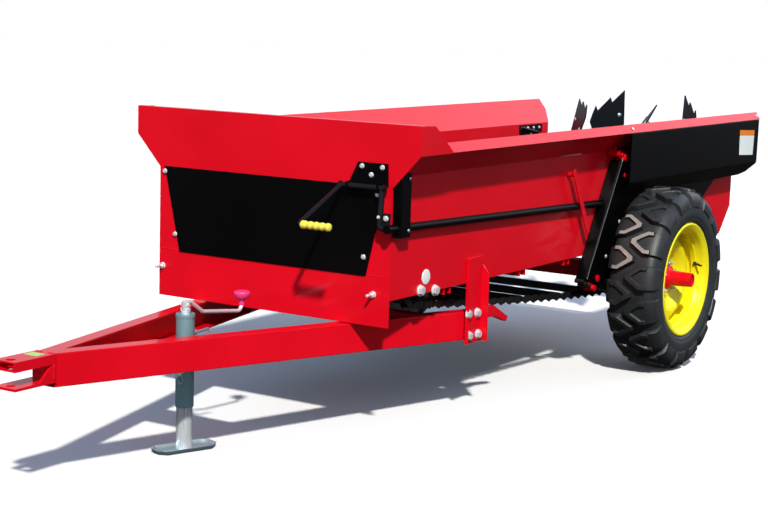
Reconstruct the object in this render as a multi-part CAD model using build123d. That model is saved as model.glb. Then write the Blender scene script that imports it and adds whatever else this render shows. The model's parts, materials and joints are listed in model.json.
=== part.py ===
from build123d import *

import math
import os

# A ground-driven manure spreader: a steel box on two wheels, drawn by an A-shaped tongue that rests
# on a screw jack, with an apron of two chains and cross slats along the floor and a paddle beater
# across the open rear end. Millimetres. X points to the machine's left side, Y to its rear, Z up.
# While modelling, Y is measured from the front panel's face and Z from a level just above the ground,
# GROUND_Z. The origin of the finished model is the middle of its footprint on the ground.

# ---------------------------------------------------------------- driving sizes
SHEET = 3.0              # thickness of the box's sheet steel
SEAT = 0.3               # gap between pieces that bear on each other
RUNNING_GAP = 0.08       # radial gap of a shaft in its bore

# wheels
TYRE_RADIUS = 351.0
TYRE_WIDTH = 216.0       # over the ends of the lugs
TYRE_SIDE_WIDTH = 200.0  # over the sidewalls
TYRE_GAP = 15.0          # between the drive case and the tyre
WHEEL_Y = 1713.0
AXLE_Z = 343.0
RIM_SEAT_RADIUS = 193.0
RIM_FLANGE_RADIUS = 220.0
RIM_HALF_WIDTH = 92.0
RIM_SEAT_HALF = 82.5     # half the width between the flanges' inner faces
RIM_GAUGE = 5.0
DISC_X = 3.0             # inner face of the rim's disc at the hub, from the middle plane
HUB_RADIUS = 28.0
HUB_FLANGE_RADIUS = 46.0
HUB_BACK_RADIUS = 72.0   # flange behind the disc
HUB_IN_RADIUS = 36.0
HUB_OUT_LENGTH = 112.0   # hub sleeve's outer end from the tyre's middle plane
HUB_IN_LENGTH = 108.0
AXLE_RADIUS = 19.0
AXLE_TUBE = 64.0         # square tube between the wheels
AXLE_BRACKET_X = (-330.0, -120.0, 120.0, 330.0)
AXLE_BRACKET_GAUGE = 10.0
AXLE_BRACKET_REACH = 92.0

# tyre tread: two rows of arrow-shaped lugs that point inwards, half a pitch apart
LUG_HEIGHT = 22.0
LUG_END_RADIUS = 312.0   # a lug's outer end, where it runs out on the sidewall
LUGS_PER_ROW = 16
LUG_LENGTH = 92.0        # round the tyre
LUG_POINT_LENGTH = 18.0
LUG_REACH = 12.0         # how far a lug's point passes the tyre's middle plane
LUG_SHOULDER = 44.0      # where the lug's sides begin to slant, from the middle plane
TYRE_FACETS = 32         # flats round the carcass and the lugs' tips

# box
BOX_WIDTH = 920.0        # over the side walls
LIP_REACH = 97.0         # the flared side's lip outside the wall
CREST_REACH = 77.0       # and its crest
WALL_BOTTOM_Z = 451.0
WALL_DROP_Z = 407.0      # lower edge behind the wheels
WALL_DROP_Y = 2080.0
FOLD_Z = 832.0
CREST_Z = 931.0
LIP_Z = 904.0
WALL_REAR_Y = 2773.0
WALL_REAR_Z = 522.0      # where the wall's rear edge begins to slant forwards
WALL_CORNER_Y = 2668.0   # where that slant meets the lower edge
LIP_REAR_Y = 2825.0
REAR_CUT = 60.0          # height and length of the cuts at the walls' rear ends
PEEP_HOLE_RADIUS = 22.0  # round hole in the wall by the front shaft
PEEP_HOLE_Y = 213.0
PEEP_HOLE_Z = 503.0

# front panel
PANEL_BOTTOM_Z = 366.0
PANEL_FOLD_Z = 798.0     # where its upright edges begin to slant outwards
PANEL_RISE = 92.0        # panel's top above the lips of the side walls
PANEL_TOP_FLANGE = 26.0
WING_TOP_Y = 80.0
WING_REAR_Y = 195.0
COVER_TOP_Z = 802.0
COVER_BOTTOM_Z = 520.0
COVER_TOP_INSET = 22.0   # cover's upper corners inside the walls' outer faces
COVER_BOTTOM_INSET = 88.0
COVER_GAUGE = 3.0
BAFFLE_TOP_Z = 640.0

# floor and sills
FLOOR_TOP_Z = 488.0
FLOOR_THICKNESS = 19.0
FLOOR_FRONT_Y = 300.0
FLOOR_REAR_Y = 2110.0
SILL_DEPTH = 40.0
SILL_WIDTH = 42.0
SILL_GAUGE = 5.0
SILL_Y = (358.0, 869.0, 1207.0, 1640.0, 1786.0, 2060.0)

# apron
APRON_FRONT_Y = 225.0
APRON_REAR_Y = 2190.0
SPROCKET_RADIUS = 28.0
CHAIN_INSET = 65.0       # middle of a chain inside the wall's outer face
CHAIN_WIDTH = 30.0
CHAIN_PITCH_RADIUS = 47.3
CHAIN_HALF_HEIGHT = 11.0
CHAIN_BARREL = ((-10.0, 15.0), (14.0, 7.0))   # outline of a link's hook: (along the chain, out from it)
APRON_SHAFT_RADIUS = 16.0
RETURN_LOW_Z = 272.0     # the return run under the axle
CHAIN_LINKS = 70
LINKS_PER_SLAT = 5
TAKE_UP_WIDTH = 24.0
TAKE_UP_LENGTH = 98.0
TAKE_UP_HEIGHT = 44.0
SPROCKET_WIDTH = 22.0
SLAT_WIDTH = 38.0
SLAT_HEIGHT = 26.0

# beater
BEATER_Y = 2440.0
BEATER_Z = 740.0
BEATER_TUBE_RADIUS = 32.0
BEATER_END_GAP = 17.0    # tube's end to the side wall
BEATER_STUB_RADIUS = 17.0
BEATER_STUB_REACH = 34.0 # stub's end outside the side wall
BEATER_FLANGE = 78.0     # side of a bearing's square flange
BEATER_FLANGE_GAUGE = 8.0
BEATER_BOSS_RADIUS = 34.0
BEATER_BOSS_LENGTH = 22.0
PADDLE_GAUGE = 6.0
PADDLE_LENGTH = 273.0    # tip of the long edge from the shaft's axis
PADDLE_HALF_WIDTH = 85.0
PADDLE_TWIST = 45.0

# tongue
BEAM_HEIGHT = 95.0
BEAM_WIDTH = 50.0
BEAM_WALL = 5.0
CROSS_TUBE = 40.0        # side of the square bar between the beams' rear ends
CROSS_TUBE_RISE = 22.0   # its underside above the beams'
TONGUE_FRONT_Y = -1009.0
TONGUE_FRONT_X = 31.6    # outer face of a beam at the hitch
TONGUE_FRONT_Z = 293.0   # bottom of a beam at the hitch
UPRIGHT_Y = 520.0        # middle of the upright that holds a beam's rear end
TONGUE_REAR_Z = 255.0
TONGUE_REAR_Y = 572.0
UPRIGHT_WIDTH = 105.0
UPRIGHT_TOP_Z = 533.0
UPRIGHT_BOTTOM_Z = 246.0
UPRIGHT_GAUGE = 6.0
UPRIGHT_FLANGE = 30.0

# hitch
HITCH_LENGTH = 154.0     # from the beams' front ends
HITCH_GAP_DEPTH = 141.0  # from the hitch's front edge back to its web
HITCH_PIN_SETBACK = 22.0
HITCH_HALF_WIDTH = 38.0
HITCH_TOP_Z = 388.0
HITCH_UPPER_Z = 360.0    # underside of the upper tube
HITCH_TUBE_WALL = 5.0
HITCH_GUSSET = 50.0      # length and height of the gusset under the upper tube
HITCH_LOWER_Z = 316.0    # top of the lower plate
HITCH_PLATE = 8.0
HITCH_PIN_RADIUS = 13.5

# jack
JACK_Y = -417.0
JACK_RADIUS = 28.0
JACK_BORE_RADIUS = 25.0
JACK_INNER_RADIUS = 24.7
JACK_TOP_Z = 415.0
JACK_SLEEVE_BOTTOM_Z = 127.0
JACK_INNER_TOP_Z = 290.0
FOOT_LENGTH = 210.0
FOOT_WIDTH = 88.0
FOOT_HEIGHT = 14.0
FOOT_TURN = -20.0        # foot's long side from the machine's length
FOOT_GAUGE = 4.0
FOOT_CUT = 26.0          # length and width of its cut corners
JACK_PLATE_TOP_Z = 284.0
JACK_PLATE = 8.0
JACK_COLLAR = 2.0        # width of the weld round the tube on the plate
JACK_CAP_RADIUS = 9.0
JACK_CAP_HEIGHT = 38.0
CRANK_RADIUS = 6.5
CRANK_FALL = 46.0        # from the cap's end of the crank to its level run
CRANK_DROP = 15.0        # middle of the crank below the cap's top
CRANK_REACH = 267.0
KNOB_RADIUS = 26.0
KNOB_HEIGHT = 32.0
KNOB_RISE = 25.0         # the knob's underside above the crank's level run
JACK_PLATE_FRONT = 48.0   # plate's front and rear edges from the jack's middle
JACK_PLATE_REAR = 112.0

# side drive case and shields
CASE_DEPTH = 45.0        # the case's outer face from the side wall
CASE_GAUGE = 3.0
CASE_FRONT = ((1278.0, 372.0), (1525.0, 796.0))   # slanted front edge of the case, (y, z)
CASE_REAR = ((2470.0, 796.0), (2520.0, 760.0), (2520.0, 690.0))
CASE_LOWER = ((1800.0, 292.0), (1640.0, 268.0), (1400.0, 322.0))
AXLE_ROOM = 4.0          # radial gap of the axle in the case
SHIELD_FRONT_Y = 1512.0
SHIELD_CREASE_Z = 716.0
SHIELD_BOTTOM_Z = 665.0
SHIELD_LEAN = 5.0        # the crease from the lip's outer edge
SHIELD_BOTTOM_REACH = 54.0
SHIELD_CORNER = 170.0    # length of the cut at the lower rear corner

# controls
TUBE_RADIUS = 13.5
TUBE_FRONT_Y = -48.0
TUBE_FRONT_Z = 679.0
TUBE_LENGTH = 1448.0
TUBE_DROP = 38.0         # over its whole length
LEVER_PIVOT_Y = -24.0
LEVER_PIVOT_RADIUS = 9.0
LEVER_ROD_RADIUS = 8.0
LEVER_WIDTH = 150.0      # between the two arms
LEVER_INSET = -2.0       # the left arm from the cover's upper corner
LEVER_PIVOT_DROP = 1.0   # the pivot below the cover's top edge
GRIP_OFFSET = 27.0       # the long arm's lower end beyond its upper end
GRIP_Y = -210.0
GRIP_Z = 692.0
GRIP_RADIUS = 13.0
GRIP_LENGTH = 105.0
BRACKET_GAUGE = 6.0
BRACKET_RISE = 72.0      # the bracket's top above the cover
BRACKET_LAP = 4.0        # the bracket's lower edge above the cover's
EAR_RISE = 12.0          # the bracket's ears above the cover's top edge
EAR_DROP = 16.0          # and below the lever's pivot
EAR_REACH = 12.0         # and in front of it
POST_FRONT_Y = 7.0
POST_REAR_Y = 63.0
POST_BOTTOM_Z = 648.0
POST_TOP_Z = 845.0
POST_GAUGE = 3.0
SHIFT_ROD_TOP = (1165.0, 782.0)      # (y, z)
SHIFT_ROD_BOTTOM = (1304.0, 540.0)
SHIFT_ROD_WIDTH = 24.0
SHIFT_ROD_GAUGE = 5.0
SHIFT_BOSS_RADIUS = 9.0

# heel behind each upright
HEEL_GAUGE = 20.0
HEEL_REAR_Y = 768.0
HEEL_TOP_Z = 351.0
HEEL_BOTTOM_Z = 313.0
HEEL_END_TOP_Z = 299.0
HEEL_END_BOTTOM_Z = 283.0

# ---------------------------------------------------------------- derived places
WALL_X = BOX_WIDTH / 2            # outer face of a side wall
WALL_IN_X = WALL_X - SHEET
LIP_X = WALL_X + LIP_REACH
CHAIN_X = WALL_X - CHAIN_INSET    # middle of a chain
APRON_AXIS_Z = FLOOR_TOP_Z + SEAT + CHAIN_HALF_HEIGHT - CHAIN_PITCH_RADIUS
CREST_X = WALL_X + CREST_REACH
WING_X = LIP_X + SEAT             # inner face of the front panel's wing
GROUND_Z = AXLE_Z - TYRE_RADIUS
CASE_OUTER_X = WALL_X + CASE_DEPTH
WHEEL_X = CASE_OUTER_X + TYRE_GAP + TYRE_WIDTH / 2      # middle plane of a tyre
COVER_TOP_HALF = WALL_X - COVER_TOP_INSET
COVER_BOTTOM_HALF = WALL_X - COVER_BOTTOM_INSET
PANEL_SLANT_Z = LIP_Z
PANEL_TOP_Z = LIP_Z + PANEL_RISE
BEATER_TUBE_HALF = WALL_IN_X - BEATER_END_GAP
BEATER_STUB_END = WALL_X + BEATER_STUB_REACH
HITCH_FRONT_Y = TONGUE_FRONT_Y - HITCH_LENGTH
HITCH_PIN_Y = HITCH_FRONT_Y + HITCH_PIN_SETBACK
HITCH_WEB_Y = HITCH_FRONT_Y + HITCH_GAP_DEPTH
TUBE_X = WALL_X + SEAT + 0.7 + TUBE_RADIUS
TUBE_SLOPE = -TUBE_DROP / TUBE_LENGTH
LEVER_LEFT_X = COVER_TOP_HALF - LEVER_INSET
LEVER_RIGHT_X = LEVER_LEFT_X - LEVER_WIDTH
LEVER_PIVOT_Z = COVER_TOP_Z - LEVER_PIVOT_DROP
GRIP_ARM_X = LEVER_RIGHT_X - GRIP_OFFSET
ORIGIN_Y = (HITCH_FRONT_Y + LIP_REAR_Y) / 2
SIDES = (("left", 1), ("right", -1))


# ---------------------------------------------------------------- helpers
def along_x(points_yz, x_low, x_high):
    """Prism along X from an outline of (y, z) points."""
    outline = Polyline(*[(x_low, y, z) for y, z in points_yz], close=True)
    return extrude(make_face(outline), amount=x_high - x_low, dir=(1, 0, 0))


def along_y(points_xz, y_low, y_high):
    """Prism along Y from an outline of (x, z) points."""
    outline = Polyline(*[(x, y_low, z) for x, z in points_xz], close=True)
    return extrude(make_face(outline), amount=y_high - y_low, dir=(0, 1, 0))


def along_z(points_xy, z_low, z_high):
    """Prism along Z from an outline of (x, y) points."""
    outline = Polyline(*[(x, y, z_low) for x, y in points_xy], close=True)
    return extrude(make_face(outline), amount=z_high - z_low, dir=(0, 0, 1))


def block(x_low, x_high, y_low, y_high, z_low, z_high):
    """Box between two corners."""
    size = (x_high - x_low, y_high - y_low, z_high - z_low)
    middle = ((x_high + x_low) / 2, (y_high + y_low) / 2, (z_high + z_low) / 2)
    return Pos(*middle) * Box(*size)


def rod_x(radius, x_low, x_high, y, z):
    """Round bar along X."""
    return Pos((x_low + x_high) / 2, y, z) * Rot(0, 90, 0) * Cylinder(radius, x_high - x_low)


def rod_z(radius, x, y, z_low, z_high):
    """Round bar along Z."""
    return Pos(x, y, (z_low + z_high) / 2) * Cylinder(radius, z_high - z_low)


def rod_between(radius, start, end):
    """Round bar between two points."""
    start, end = Vector(*start), Vector(*end)
    plane = Plane(origin=start, z_dir=end - start)
    return extrude(plane * Circle(radius), amount=(end - start).length)


def bent_strip(points, gauge):
    """Outline of a folded sheet: the given side's points, then the other side offset by the gauge.

    The offset lies to the right of the direction in which the points run."""
    offsets = []
    for i, (a, b) in enumerate(points):
        directions = []
        if i > 0:
            directions.append((a - points[i - 1][0], b - points[i - 1][1]))
        if i < len(points) - 1:
            directions.append((points[i + 1][0] - a, points[i + 1][1] - b))
        normals = []
        for da, db in directions:
            length = math.hypot(da, db)
            normals.append((db / length, -da / length))
        na = sum(n[0] for n in normals) / len(normals)
        nb = sum(n[1] for n in normals) / len(normals)
        scale = gauge / (na * na + nb * nb)
        offsets.append((a + na * scale, b + nb * scale))
    return list(points) + offsets[::-1]


def revolve_x(points_xr, x, y, z):
    """Ring round an axis along X from an outline of (x, radius) points."""
    face = make_face(Polyline(*[(a, r, 0) for a, r in points_xr], close=True))
    return Pos(x, y, z) * revolve(face, Axis.X, 360)


def to_side(shape, sign):
    """The shape as built for the left side, or mirrored to the right side."""
    return shape if sign > 0 else mirror(shape, about=Plane.YZ)


def group(pieces):
    """Solids of one node that don't touch."""
    return Compound(children=[solid for piece in pieces for solid in piece.solids()])


def save(name, shape):
    """Move each solid of a piece to the finished model's origin and write the piece."""
    place = Pos(0, -ORIGIN_Y, -GROUND_Z)
    moved = group([place * solid for solid in shape.solids()])
    export_step(moved, "parts/" + name + ".step")


# ---------------------------------------------------------------- wheels
def faceted_ring(profile, facets):
    """Solid of revolution round X with flats in place of its round faces, from (x, corner radius) points."""
    rings = []
    for x, radius in profile:
        turns = [2 * math.pi * i / facets for i in range(facets)]
        rings.append([(x, -radius * math.sin(turn), -radius * math.cos(turn)) for turn in turns])
    faces = [make_face(Polyline(*rings[0], close=True)), make_face(Polyline(*rings[-1], close=True))]
    for low, high in zip(rings, rings[1:]):
        for i in range(facets):
            j = (i + 1) % facets
            faces.append(make_face(Polyline(low[i], low[j], high[j], high[i], close=True)))
    return Solid(Shell([face.faces()[0] for face in faces]))


def lug_outline(side):
    """Arrow-shaped lug as (x, distance round the tyre) points; side is 1 for the outer row."""
    half, point = LUG_LENGTH / 2, LUG_POINT_LENGTH / 2
    edge = TYRE_WIDTH / 2 + 3.0
    outline = ((edge, half), (LUG_SHOULDER, half), (-LUG_REACH, point))
    outline = outline + tuple((x, -a) for x, a in reversed(outline))
    return [(side * x, a) for x, a in outline]


def tyre():
    """Tyre with the lugs of its tread, for a wheel with its middle at X = 0."""
    half = TYRE_SIDE_WIDTH / 2
    carcass_radius = TYRE_RADIUS - LUG_HEIGHT
    right_half = (
        # distance from middle plane, radius
        (RIM_SEAT_HALF - SEAT, RIM_FLANGE_RADIUS - 4.0),
        (half, 272.0),
        (half - 26.0, carcass_radius),
    )
    profile = [(-x, r) for x, r in right_half] + [(x, r) for x, r in reversed(right_half)]
    carcass = faceted_ring(profile, TYRE_FACETS)
    tip_half = (
        # distance from middle plane, radius at the lugs' tips
        (half - 8.0, LUG_END_RADIUS - 22.0),
        (TYRE_WIDTH / 2, LUG_END_RADIUS),
        (half - 14.0, TYRE_RADIUS),
    )
    tip_profile = [(-x, r) for x, r in tip_half] + [(x, r) for x, r in reversed(tip_half)]
    tips = faceted_ring(tip_profile, TYRE_FACETS)
    lugs = []
    pitch = 360.0 / LUGS_PER_ROW
    foot = carcass_radius - 45.0
    for side, phase in ((1, 0.0), (-1, pitch / 2)):
        outline = Polyline(*[(x, a, -foot) for x, a in lug_outline(side)], close=True)
        lug = extrude(make_face(outline), amount=TYRE_RADIUS + 10.0 - foot, dir=(0, 0, -1)) & tips
        for i in range(LUGS_PER_ROW):
            lugs.append(Rot(phase + i * pitch, 0, 0) * lug)
    bead = (RIM_SEAT_RADIUS + SEAT) / math.cos(math.pi / TYRE_FACETS)
    bore = faceted_ring([(-half, bead), (half, bead)], TYRE_FACETS)
    return carcass.fuse(*lugs) - bore


def rim():
    """Pressed rim with its disc and hub hole."""
    edge = RIM_HALF_WIDTH
    seat = RIM_SEAT_RADIUS
    flange = RIM_FLANGE_RADIUS - 1.0
    side = (
        # distance from middle plane, radius: one flange from its lip to the barrel
        (edge, flange - 9.0),
        (edge, flange),
        (edge - RIM_GAUGE, flange),
        (RIM_SEAT_HALF, flange - 6.0),
        (RIM_SEAT_HALF, seat),
    )
    outer = list(side) + [(-a, r) for a, r in reversed(side)]
    inner = [(-edge + RIM_GAUGE, flange - 9.0), (-RIM_SEAT_HALF + RIM_GAUGE, seat - RIM_GAUGE)]
    inner += [(RIM_SEAT_HALF - RIM_GAUGE, seat - RIM_GAUGE), (edge - RIM_GAUGE, flange - 9.0)]
    barrel = revolve_x(outer + inner, 0, 0, 0)
    disc_side = (
        # distance from middle plane, radius
        (DISC_X, HUB_RADIUS + SEAT),
        (DISC_X, 82.0),
        (DISC_X + 24.0, 122.0),
        (DISC_X + 24.0, 140.0),
        (DISC_X - 9.0, 176.0),
        (DISC_X - 9.0, seat - RIM_GAUGE + 1.0),
    )
    disc_points = list(disc_side) + [(a + RIM_GAUGE, r) for a, r in reversed(disc_side)]
    return barrel + revolve_x(disc_points, 0, 0, 0)


def hub():
    """Hub sleeve with its flanges on both sides of the disc, bored for the axle."""
    bore = AXLE_RADIUS + RUNNING_GAP
    front = DISC_X + RIM_GAUGE + SEAT
    back = DISC_X - SEAT
    outline = (
        # distance from middle plane, radius
        (-HUB_IN_LENGTH, bore),
        (-HUB_IN_LENGTH, HUB_IN_RADIUS),
        (back - 10.0, HUB_IN_RADIUS),
        (back - 10.0, HUB_BACK_RADIUS),
        (back, HUB_BACK_RADIUS),
        (back, HUB_RADIUS),
        (front, HUB_RADIUS),
        (front, HUB_FLANGE_RADIUS),
        (front + 11.0, HUB_FLANGE_RADIUS),
        (front + 19.0, HUB_RADIUS + 1.5),
        (HUB_OUT_LENGTH, HUB_RADIUS - 1.0),
        (HUB_OUT_LENGTH, bore),
    )
    return revolve_x(outline, 0, 0, 0)


def build_wheels():
    place = Pos(WHEEL_X, WHEEL_Y, AXLE_Z)
    for name, sign in SIDES:
        save("tyre_" + name, to_side(place * tyre(), sign))
        save("rim_" + name, to_side(place * rim(), sign))
        save("hub_" + name, to_side(place * hub(), sign))


# ---------------------------------------------------------------- axle
def build_axle():
    """Square axle tube with a round stub out through each hub, and the brackets that hold it."""
    half = AXLE_TUBE / 2
    tube = block(-WALL_X, WALL_X, WHEEL_Y - half, WHEEL_Y + half, AXLE_Z - half, AXLE_Z + half)
    stub_end = WHEEL_X + HUB_OUT_LENGTH - 4.0
    save("axle", tube + rod_x(AXLE_RADIUS, -stub_end, stub_end, WHEEL_Y, AXLE_Z))
    sill_bottom = FLOOR_TOP_Z - FLOOR_THICKNESS - SEAT - SILL_DEPTH
    top = sill_bottom - SEAT
    bottom = AXLE_Z + half + SEAT
    outline = (
        (WHEEL_Y - AXLE_BRACKET_REACH, top),
        (WHEEL_Y + AXLE_BRACKET_REACH, top),
        (WHEEL_Y + half, bottom),
        (WHEEL_Y - half, bottom),
    )
    brackets = []
    for x in AXLE_BRACKET_X:
        brackets.append(along_x(outline, x - AXLE_BRACKET_GAUGE / 2, x + AXLE_BRACKET_GAUGE / 2))
    save("axle_brackets", group(brackets))


# ---------------------------------------------------------------- box
def side_wall():
    """Side wall, its flare and folded lip in one sheet, with the holes that pass through it."""
    fold = (WALL_X, FOLD_Z)
    overlap = 60.0
    flare = bent_strip(
        [(WALL_X, FOLD_Z - overlap), fold, (CREST_X, CREST_Z), (LIP_X - SHEET, LIP_Z)], -SHEET
    )
    front = SHEET + SEAT
    top = along_y(flare, front, LIP_REAR_Y)
    outline = (
        (front, WALL_BOTTOM_Z),
        (WALL_DROP_Y - REAR_CUT, WALL_BOTTOM_Z),
        (WALL_DROP_Y, WALL_DROP_Z),
        (WALL_CORNER_Y, WALL_DROP_Z),
        (WALL_REAR_Y, WALL_REAR_Z),
        (WALL_REAR_Y, FOLD_Z),
        (front, FOLD_Z),
    )
    wall = along_x(outline, WALL_IN_X, WALL_X) + top
    past = LIP_REAR_Y + 1.0
    slant = ((WALL_REAR_Y, FOLD_Z - 1.0), (past, FOLD_Z - 1.0), (past, FOLD_Z + REAR_CUT))
    low = FOLD_Z - overlap - 1.0
    below = ((WALL_REAR_Y, low), (past, low), (past, FOLD_Z), (WALL_REAR_Y, FOLD_Z))
    wall = wall - along_x(below, WALL_IN_X - 1.0, WALL_X + 1.0) - along_x(slant, WALL_IN_X - 1.0, LIP_X + 1.0)
    peep_hole = rod_x(PEEP_HOLE_RADIUS, WALL_IN_X - 1.0, WALL_X + 1.0, PEEP_HOLE_Y, PEEP_HOLE_Z)
    beater_hole = rod_x(BEATER_STUB_RADIUS + 6.0, WALL_IN_X - 1.0, WALL_X + 1.0, BEATER_Y, BEATER_Z)
    return wall - peep_hole - beater_hole


def front_panel():
    """Front panel with a wing folded back at each upper end and a folded top edge."""
    outer_x = WING_X + SHEET
    outline = [
        (WALL_X, PANEL_BOTTOM_Z),
        (WALL_X, PANEL_FOLD_Z),
        (outer_x, PANEL_SLANT_Z),
        (outer_x, PANEL_TOP_Z),
    ]
    outline += [(-x, z) for x, z in reversed(outline)]
    panel = along_y(outline, 0, SHEET)
    panel = panel + block(-outer_x, outer_x, 0, PANEL_TOP_FLANGE, PANEL_TOP_Z - SHEET, PANEL_TOP_Z)
    wing_outline = (
        (0, PANEL_SLANT_Z),
        (0, PANEL_TOP_Z),
        (WING_TOP_Y, PANEL_TOP_Z - 3.0),
        (WING_REAR_Y, PANEL_SLANT_Z),
    )
    wing = along_x(wing_outline, WING_X, outer_x)
    return panel + wing + to_side(wing, -1)


def build_box():
    save("front_panel", front_panel())
    cover_outline = (
        (-COVER_TOP_HALF, COVER_TOP_Z),
        (COVER_TOP_HALF, COVER_TOP_Z),
        (COVER_BOTTOM_HALF, COVER_BOTTOM_Z),
        (-COVER_BOTTOM_HALF, COVER_BOTTOM_Z),
    )
    save("front_cover", along_y(cover_outline, -SEAT - COVER_GAUGE, -SEAT))
    for name, sign in SIDES:
        save("side_wall_" + name, to_side(side_wall(), sign))
        save("rear_shield_" + name, to_side(rear_shield(), sign))
        save("drive_case_" + name, to_side(drive_case(), sign))
        save("take_up_" + name, to_side(take_up(), sign))


def rear_shield():
    """Black shield that hangs from the lip over the beater's drive, cut off at its lower rear corner."""
    lip_end = Vector(LIP_X - SHEET, LIP_Z)
    crest = Vector(CREST_X, CREST_Z)
    along = (lip_end - crest).normalized()
    below = Vector(along.Y, -along.X)
    top = crest + along * 8.0 + below * SEAT
    fold = lip_end + below * SEAT
    profile = bent_strip(
        [
            (top.X, top.Y),
            (fold.X, fold.Y),
            (LIP_X - SHIELD_LEAN, SHIELD_CREASE_Z),
            (WALL_X + SHIELD_BOTTOM_REACH, SHIELD_BOTTOM_Z),
        ],
        SHEET,
    )
    shield = along_y(profile, SHIELD_FRONT_Y, LIP_REAR_Y)
    corner = (
        (LIP_REAR_Y - SHIELD_CORNER, SHIELD_BOTTOM_Z - 8.0),
        (LIP_REAR_Y + 1.0, SHIELD_BOTTOM_Z - 8.0),
        (LIP_REAR_Y + 1.0, SHIELD_CREASE_Z - 6.0),
        (LIP_REAR_Y - 0.3 * SHIELD_CORNER, SHIELD_BOTTOM_Z + 10.0),
    )
    return shield - along_x(corner, WALL_X, LIP_X + 5.0)


def drive_case():
    """Deep cover over the drive from the axle to the beater, open towards the side wall."""
    outline = CASE_FRONT + CASE_REAR + CASE_LOWER
    inner_x = WALL_X + SEAT
    shell = along_x(outline, inner_x, CASE_OUTER_X)
    face = make_face(Polyline(*[(inner_x, y, z) for y, z in outline], close=True))
    inset = offset(face, amount=-CASE_GAUGE, kind=Kind.INTERSECTION)
    room = extrude(inset, amount=CASE_OUTER_X - CASE_GAUGE - inner_x, dir=(1, 0, 0))
    axle_hole = rod_x(AXLE_RADIUS + AXLE_ROOM, inner_x, CASE_OUTER_X + 1.0, WHEEL_Y, AXLE_Z)
    return shell - room - axle_hole


def take_up():
    """Bearing block of the front apron shaft, bolted through the side wall."""
    block_low = WALL_IN_X - SEAT - TAKE_UP_WIDTH
    half, height = TAKE_UP_LENGTH / 2, TAKE_UP_HEIGHT / 2
    y, z = APRON_FRONT_Y, APRON_AXIS_Z
    body = block(block_low, WALL_IN_X - SEAT, y - half, y + half, z - height, z + height)
    bore = rod_x(APRON_SHAFT_RADIUS + RUNNING_GAP, block_low - 1.0, WALL_X, APRON_FRONT_Y, APRON_AXIS_Z)
    return body - bore


def build_floor():
    half = WALL_IN_X - SEAT
    bottom = FLOOR_TOP_Z - FLOOR_THICKNESS
    save("floor", block(-half, half, FLOOR_FRONT_Y, FLOOR_REAR_Y, bottom, FLOOR_TOP_Z))
    sills = []
    for y in SILL_Y:
        top = bottom - SEAT
        section = bent_strip(
            [
                (y + SILL_WIDTH / 2, top - SILL_DEPTH),
                (y + SILL_WIDTH / 2, top),
                (y - SILL_WIDTH / 2, top),
                (y - SILL_WIDTH / 2, top - SILL_DEPTH),
            ],
            -SILL_GAUGE,
        )
        sills.append(along_x(section, -half, half))
    save("cross_sills", group(sills))
    baffle_rear_z = FLOOR_TOP_Z + SLAT_HEIGHT + 14.0
    baffle_profile = bent_strip(
        [
            (SHEET + SEAT, BAFFLE_TOP_Z),
            (APRON_FRONT_Y - 75.0, baffle_rear_z + 17.0),
            (APRON_FRONT_Y + 20.0, baffle_rear_z),
        ],
        -SHEET,
    )
    save("front_baffle", along_x(baffle_profile, -half, half))


# ---------------------------------------------------------------- apron
def apron_path():
    """Closed middle line of an apron chain as (y, z) points at equal steps of one link."""
    top_z = APRON_AXIS_Z + CHAIN_PITCH_RADIUS
    bottom_z = APRON_AXIS_Z - CHAIN_PITCH_RADIUS
    low_front, low_rear = WHEEL_Y - 60.0, WHEEL_Y + 60.0
    line = []
    arc_steps = 24
    run_steps = 60
    for i in range(run_steps):
        t = i / run_steps
        line.append((APRON_FRONT_Y + t * (APRON_REAR_Y - APRON_FRONT_Y), top_z))
    for i in range(arc_steps):
        turn = math.pi * i / arc_steps
        line.append(
            (
                APRON_REAR_Y + CHAIN_PITCH_RADIUS * math.sin(turn),
                APRON_AXIS_Z + CHAIN_PITCH_RADIUS * math.cos(turn),
            )
        )
    for i in range(run_steps):
        t = i / run_steps
        ease = t * t * (3.0 - 2.0 * t)
        y = APRON_REAR_Y + t * (low_rear - APRON_REAR_Y)
        line.append((y, bottom_z + ease * (RETURN_LOW_Z - bottom_z)))
    for i in range(run_steps):
        t = i / run_steps
        y = low_rear + t * (APRON_FRONT_Y - low_rear)
        if y > low_front:
            line.append((y, RETURN_LOW_Z))
            continue
        u = (low_front - y) / (low_front - APRON_FRONT_Y)
        line.append((y, RETURN_LOW_Z + u ** 1.25 * (bottom_z - RETURN_LOW_Z)))
    for i in range(arc_steps):
        turn = math.pi + math.pi * i / arc_steps
        line.append(
            (
                APRON_FRONT_Y + CHAIN_PITCH_RADIUS * math.sin(turn),
                APRON_AXIS_Z + CHAIN_PITCH_RADIUS * math.cos(turn),
            )
        )
    return line


def even_points(line, count):
    """Points at equal steps round a closed line, with the unit direction at each."""
    closed = line + [line[0]]
    lengths = [0.0]
    for a, b in zip(closed, closed[1:]):
        lengths.append(lengths[-1] + math.hypot(b[0] - a[0], b[1] - a[1]))
    total = lengths[-1]
    result = []
    k = 0
    for i in range(count):
        target = total * i / count
        while lengths[k + 1] < target:
            k += 1
        (y0, z0), (y1, z1) = closed[k], closed[k + 1]
        span = lengths[k + 1] - lengths[k]
        t = (target - lengths[k]) / span
        result.append((y0 + t * (y1 - y0), z0 + t * (z1 - z0), (y1 - y0) / span, (z1 - z0) / span))
    return result


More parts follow.
